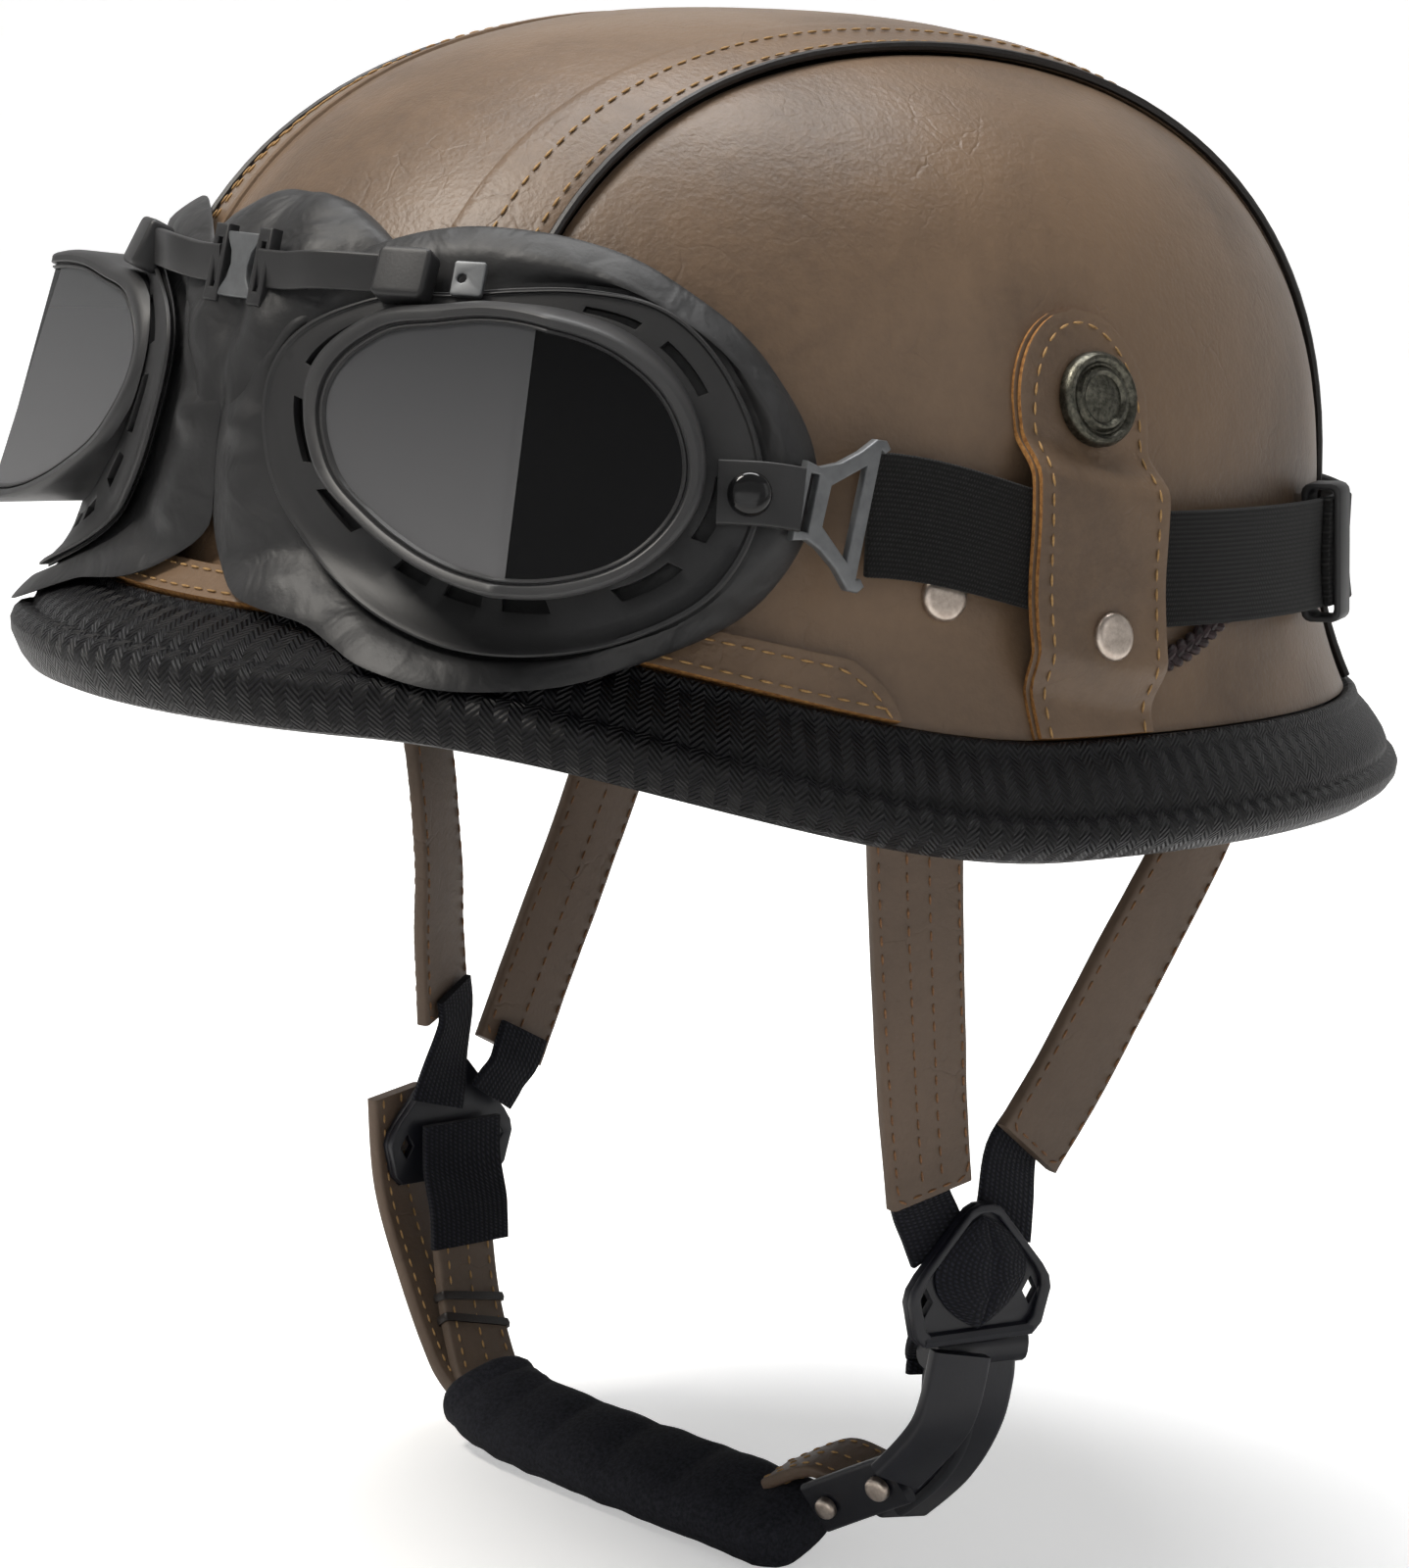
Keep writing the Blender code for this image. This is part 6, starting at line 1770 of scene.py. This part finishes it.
# %% Chin strap pieces
# Places in mm, then width, thickness, the direction across the piece, material and slot.
CHIN_STRAPS = {
    "chin_leather": (
        [(-78.5, -5, -162), (-73.5, -5.5, -182), (-64, -8.6, -194.5), (-54, -12, -200)],
        17, 2.8, (-0.1, 0.99, 0), STRAP_HIDE, "leather"),
    "strap_tail": (
        [(-89.5, -15, -140), (-88.5, -13, -160), (-82, -10.5, -179), (-69.5, -11, -195), (-57, -13, -200.5)],
        16.5, 3.0, (-0.2, 0.97, 0), STRAP_HIDE, "leather"),
    "buckle_lever": (
        [(82.5, -11, -158), (81, -13.5, -172), (73.5, -18, -184)],
        13, 3.2, (0.25, 0.97, 0), BUCKLE_NYLON, "goggle_plastic"),
    "buckle_tongue": (
        [(71.5, -14.7, -185.3), (61, -15.0, -190.8), (49.5, -15.4, -197)],
        11.0, 2.4, (0.47, 0.35, -0.72), BUCKLE_NYLON, "goggle_plastic"),
    "chin_loop": (
        [(53.5, -6.9, -189.5), (44, -7.5, -189.5), (33, -10.5, -195.5)],
        14, 2.6, (0.1, 0.9, 0.3), STRAP_HIDE, "leather"),
}
for name, (places, width, thick, across, material, slot) in CHIN_STRAPS.items():
    path = spline([at(*place) for place in places], 9)
    mesh = swept(name, path, across, rounded_section(width * MM, thick * MM, 0.9 * MM))
    shown("sewn_" + name, mesh, material, [name])
    if material is STRAP_HIDE:
        lines = []
        for lift in (-1, 1):
            for shift in (-0.36, 0.0, 0.36):
                height = lift * (thick / 2 + 0.1) * MM
                lines.append(offset_line(path, across, shift * width * MM, height)[1:-1])
        stitches("thread_" + name, lines, 3.2 * MM, 2.1 * MM, 0.5 * MM)

leather_path = spline([at(*place) for place in CHIN_STRAPS["chin_leather"][0]], 9)
keepers = []
for station in (10, 13):
    place, flat, up = frames_along(leather_path, (-0.1, 0.99, 0))[station]
    ring = [(a, b) for a, b in rounded_section(18.4 * MM, 4.0 * MM, 1.0 * MM)]
    tall = (leather_path[station + 1] - leather_path[station]).normalized()
    rows = []
    for s, t in ((0.97, -0.9 * MM), (1.0, 0.0), (0.97, 0.9 * MM)):
        rows.append([place + flat * a * s + up * b * s + tall * t for a, b in ring])
    keepers.append(surface("keeper", rows, wrap_across=True, cap_ends=True))
shown("strap_keepers", joined("strap_keepers", keepers), PIPING_SKIN)

# %% Chin pad
def chin_pad_mesh():
    """A cloth sleeve over foam, gathered in shallow scallops on its upper edge."""
    knots = [at(-59, -12.6, -198.6), at(-44, -15, -201.5), at(-15, -16, -202)]
    knots += [at(20, -16, -202), at(46, -14.5, -203)]
    path = spline(knots, 24)
    rows = []
    roll = math.radians(25)
    for index, (place, ahead) in enumerate(zip(path, headings(path))):
        share = index / (len(path) - 1)
        end = min(share, 1 - share)
        swell = 0.72 + 0.3 * math.sqrt(min(1.0, end * 12)) + 0.05 * (share - 0.5)
        across = Vector((0.0, math.cos(roll), math.sin(roll)))
        across = (across - ahead * across.dot(ahead)).normalized()
        up = across.cross(ahead)
        up = up if up.z > 0 else -up
        scallop = abs(math.sin(share * math.pi * 7.0)) ** 0.7
        ring = []
        for corner in range(28):
            angle = 2 * math.pi * corner / 28
            wide = math.copysign(abs(math.cos(angle)) ** 0.8, math.cos(angle)) * 11 * MM
            high = math.copysign(abs(math.sin(angle)) ** 0.8, math.sin(angle)) * 6 * MM
            lift = (scallop - 0.6) * 1.3 * MM * max(0.0, math.sin(angle)) ** 1.5
            ripple = 0.25 * MM * noise.noise(Vector((share * 22, math.cos(angle) * 2, math.sin(angle) * 2)))
            ring.append(place + across * (wide * swell + ripple) + up * (high * swell + lift + ripple))
        rows.append(ring)
    mesh = surface("chin_sleeve", rows, wrap_across=True, cap_ends=True)
    if volume(mesh) < 0:
        mesh.flip_normals()
    return mesh


sleeve = shown("chin_sleeve", chin_pad_mesh(), SLEEVE_CLOTH, ["chin_pad"], 60)

# %% Buckle
def buckle_mesh():
    """The buckle's curved cover with a raised rib down its face, and the loop bar above it."""
    path = spline([at(76.5, -2, -161), at(75, -2, -174), at(69, -2, -186), at(60, -3, -196)], 10)
    across = (0.15, 0.99, 0)
    sections = []
    for index in range(len(path)):
        share = index / (len(path) - 1)
        width = blend(20.5, 15.0, share) * (0.93 + 0.07 * min(1.0, share * 8)) * MM
        sections.append(rounded_section(width, blend(6.4, 5.2, share) * MM, 1.8 * MM, 4))
    body = swept("buckle_cover", path, across, sections)
    frames = frames_along(path, across)
    outward = 1 if frames[5][2].x > 0 else -1
    rib_path = []
    for index, (place, flat, up) in enumerate(frames[2:-3]):
        shift = -3.5 * MM + 3.0 * MM * math.sin(index / 24 * math.pi)
        rib_path.append(place + flat * shift + up * outward * 3.0 * MM)
    rib = swept("rib", rib_path, across, [(a * 1.7 * MM, b * 1.2 * MM) for a, b in ROUND])
    place, flat, up = frames[0]
    bar = place + up * outward * 0.6 * MM + Vector((0, 0, 1.8 * MM))
    bar_path = [bar + flat * s * 11 * MM for s in (-1, -0.5, 0, 0.5, 1)]
    bar = swept("loop_bar", bar_path, up, rounded_section(7.0 * MM, 7.0 * MM, 2.6 * MM))
    return joined("buckle_cover", [body, rib, bar])


shown("buckle_cover", buckle_mesh(), BUCKLE_NYLON, ["buckle_body"])
STRAP_RIVETS = (("buckle_rivet", (67.7, -16.5, -188.0), 2.6), ("tongue_rivet", (53.9, -16.8, -195.5), 2.3))
for name, place, radius in STRAP_RIVETS:
    profile = [(r * radius * MM, h * 1.8 * MM) for r, h in RIVET_PROFILE]
    round_cap(name + "_cap", profile, at(*place), (0.2, -0.93, -0.3), NICKEL, name)
print("chin strap done")

# %% [markdown]
# ## Floor, backdrop and light
#
# The chin pad just touches a plain white paper floor, which curves up into a wall far out on
# every side. Large soft lights leave its shadow faint. The key light is high on the left of the
# view, where the dome shows its shine.

# %% Floor and backdrop
def paper_bowl():
    """White paper: a round floor that curves up into a wall well behind every view."""
    material, tree, shader, place = start_material("matte_white_paper", 0.95, specular=0.1)
    tone = add(tree, NOISE, {"Vector": place, "Scale": 2.0, "Detail": 1.0})
    colour = add(tree, RAMP, {0: tone}, stops=((0.3, "#f4f4f4"), (0.7, "#f8f8f8")))
    tree.links.new(colour, shader.inputs["Base Color"])
    seen = add(tree, "ShaderNodeLightPath", out="Is Camera Ray")
    glow = add(tree, MATH, {0: seen, 1: 0.4}, operation="MULTIPLY")
    shader.inputs["Emission Color"].default_value = linear("#ffffff")
    tree.links.new(glow, shader.inputs["Emission Strength"])
    floor_z = -301.5 * MM
    profile = [(0.0, 0.0), (0.8, 0.0), (1.6, 0.0), (2.4, 0.0), (3.0, 0.05), (3.5, 0.25)]
    profile += [(3.85, 0.6), (4.0, 1.1), (4.0, 3.4)]
    rows = []
    for step in range(48):
        around = 2 * math.pi * step / 48
        rows.append([Vector((r * math.cos(around), r * math.sin(around), floor_z + h)) for r, h in profile])
    mesh = surface("paper_floor", rows, wrap_along=True)
    mesh.flip_normals()
    mesh.materials.append(material)
    mesh.shade_smooth()
    floor = bpy.data.objects.new("paper_floor", mesh)
    bpy.context.scene.collection.objects.link(floor)


paper_bowl()


# %% Lights and world
def soft_light(name, place, size, power, tint="#ffffff", aim=(0, 0, -0.06)):
    light = bpy.data.lights.new(name, "AREA")
    light.energy = power
    light.size = size
    light.color = linear(tint)[:3]
    item = bpy.data.objects.new(name, light)
    item.location = place
    item.rotation_euler = (Vector(aim) - Vector(place)).to_track_quat("-Z", "Y").to_euler()
    bpy.context.scene.collection.objects.link(item)


soft_light("key_light", (-0.3, -0.8, 1.2), 0.55, 20.5, "#fffaf2")
soft_light("side_light", (1.3, 0.25, 0.5), 0.9, 1.5)
soft_light("front_fill", (0.9, -1.1, -0.15), 1.2, 3.2)
soft_light("backdrop_light", (-0.4, 0.4, 1.7), 1.2, 40.0, aim=(-1.3, 1.2, -0.1))
world = bpy.data.worlds.new("pale_room")
world.use_nodes = True
world.node_tree.nodes["Background"].inputs[0].default_value = linear("#fbfbfb")
world.node_tree.nodes["Background"].inputs[1].default_value = 0.2
bpy.context.scene.world = world
bpy.context.scene.view_settings.view_transform = "Standard"
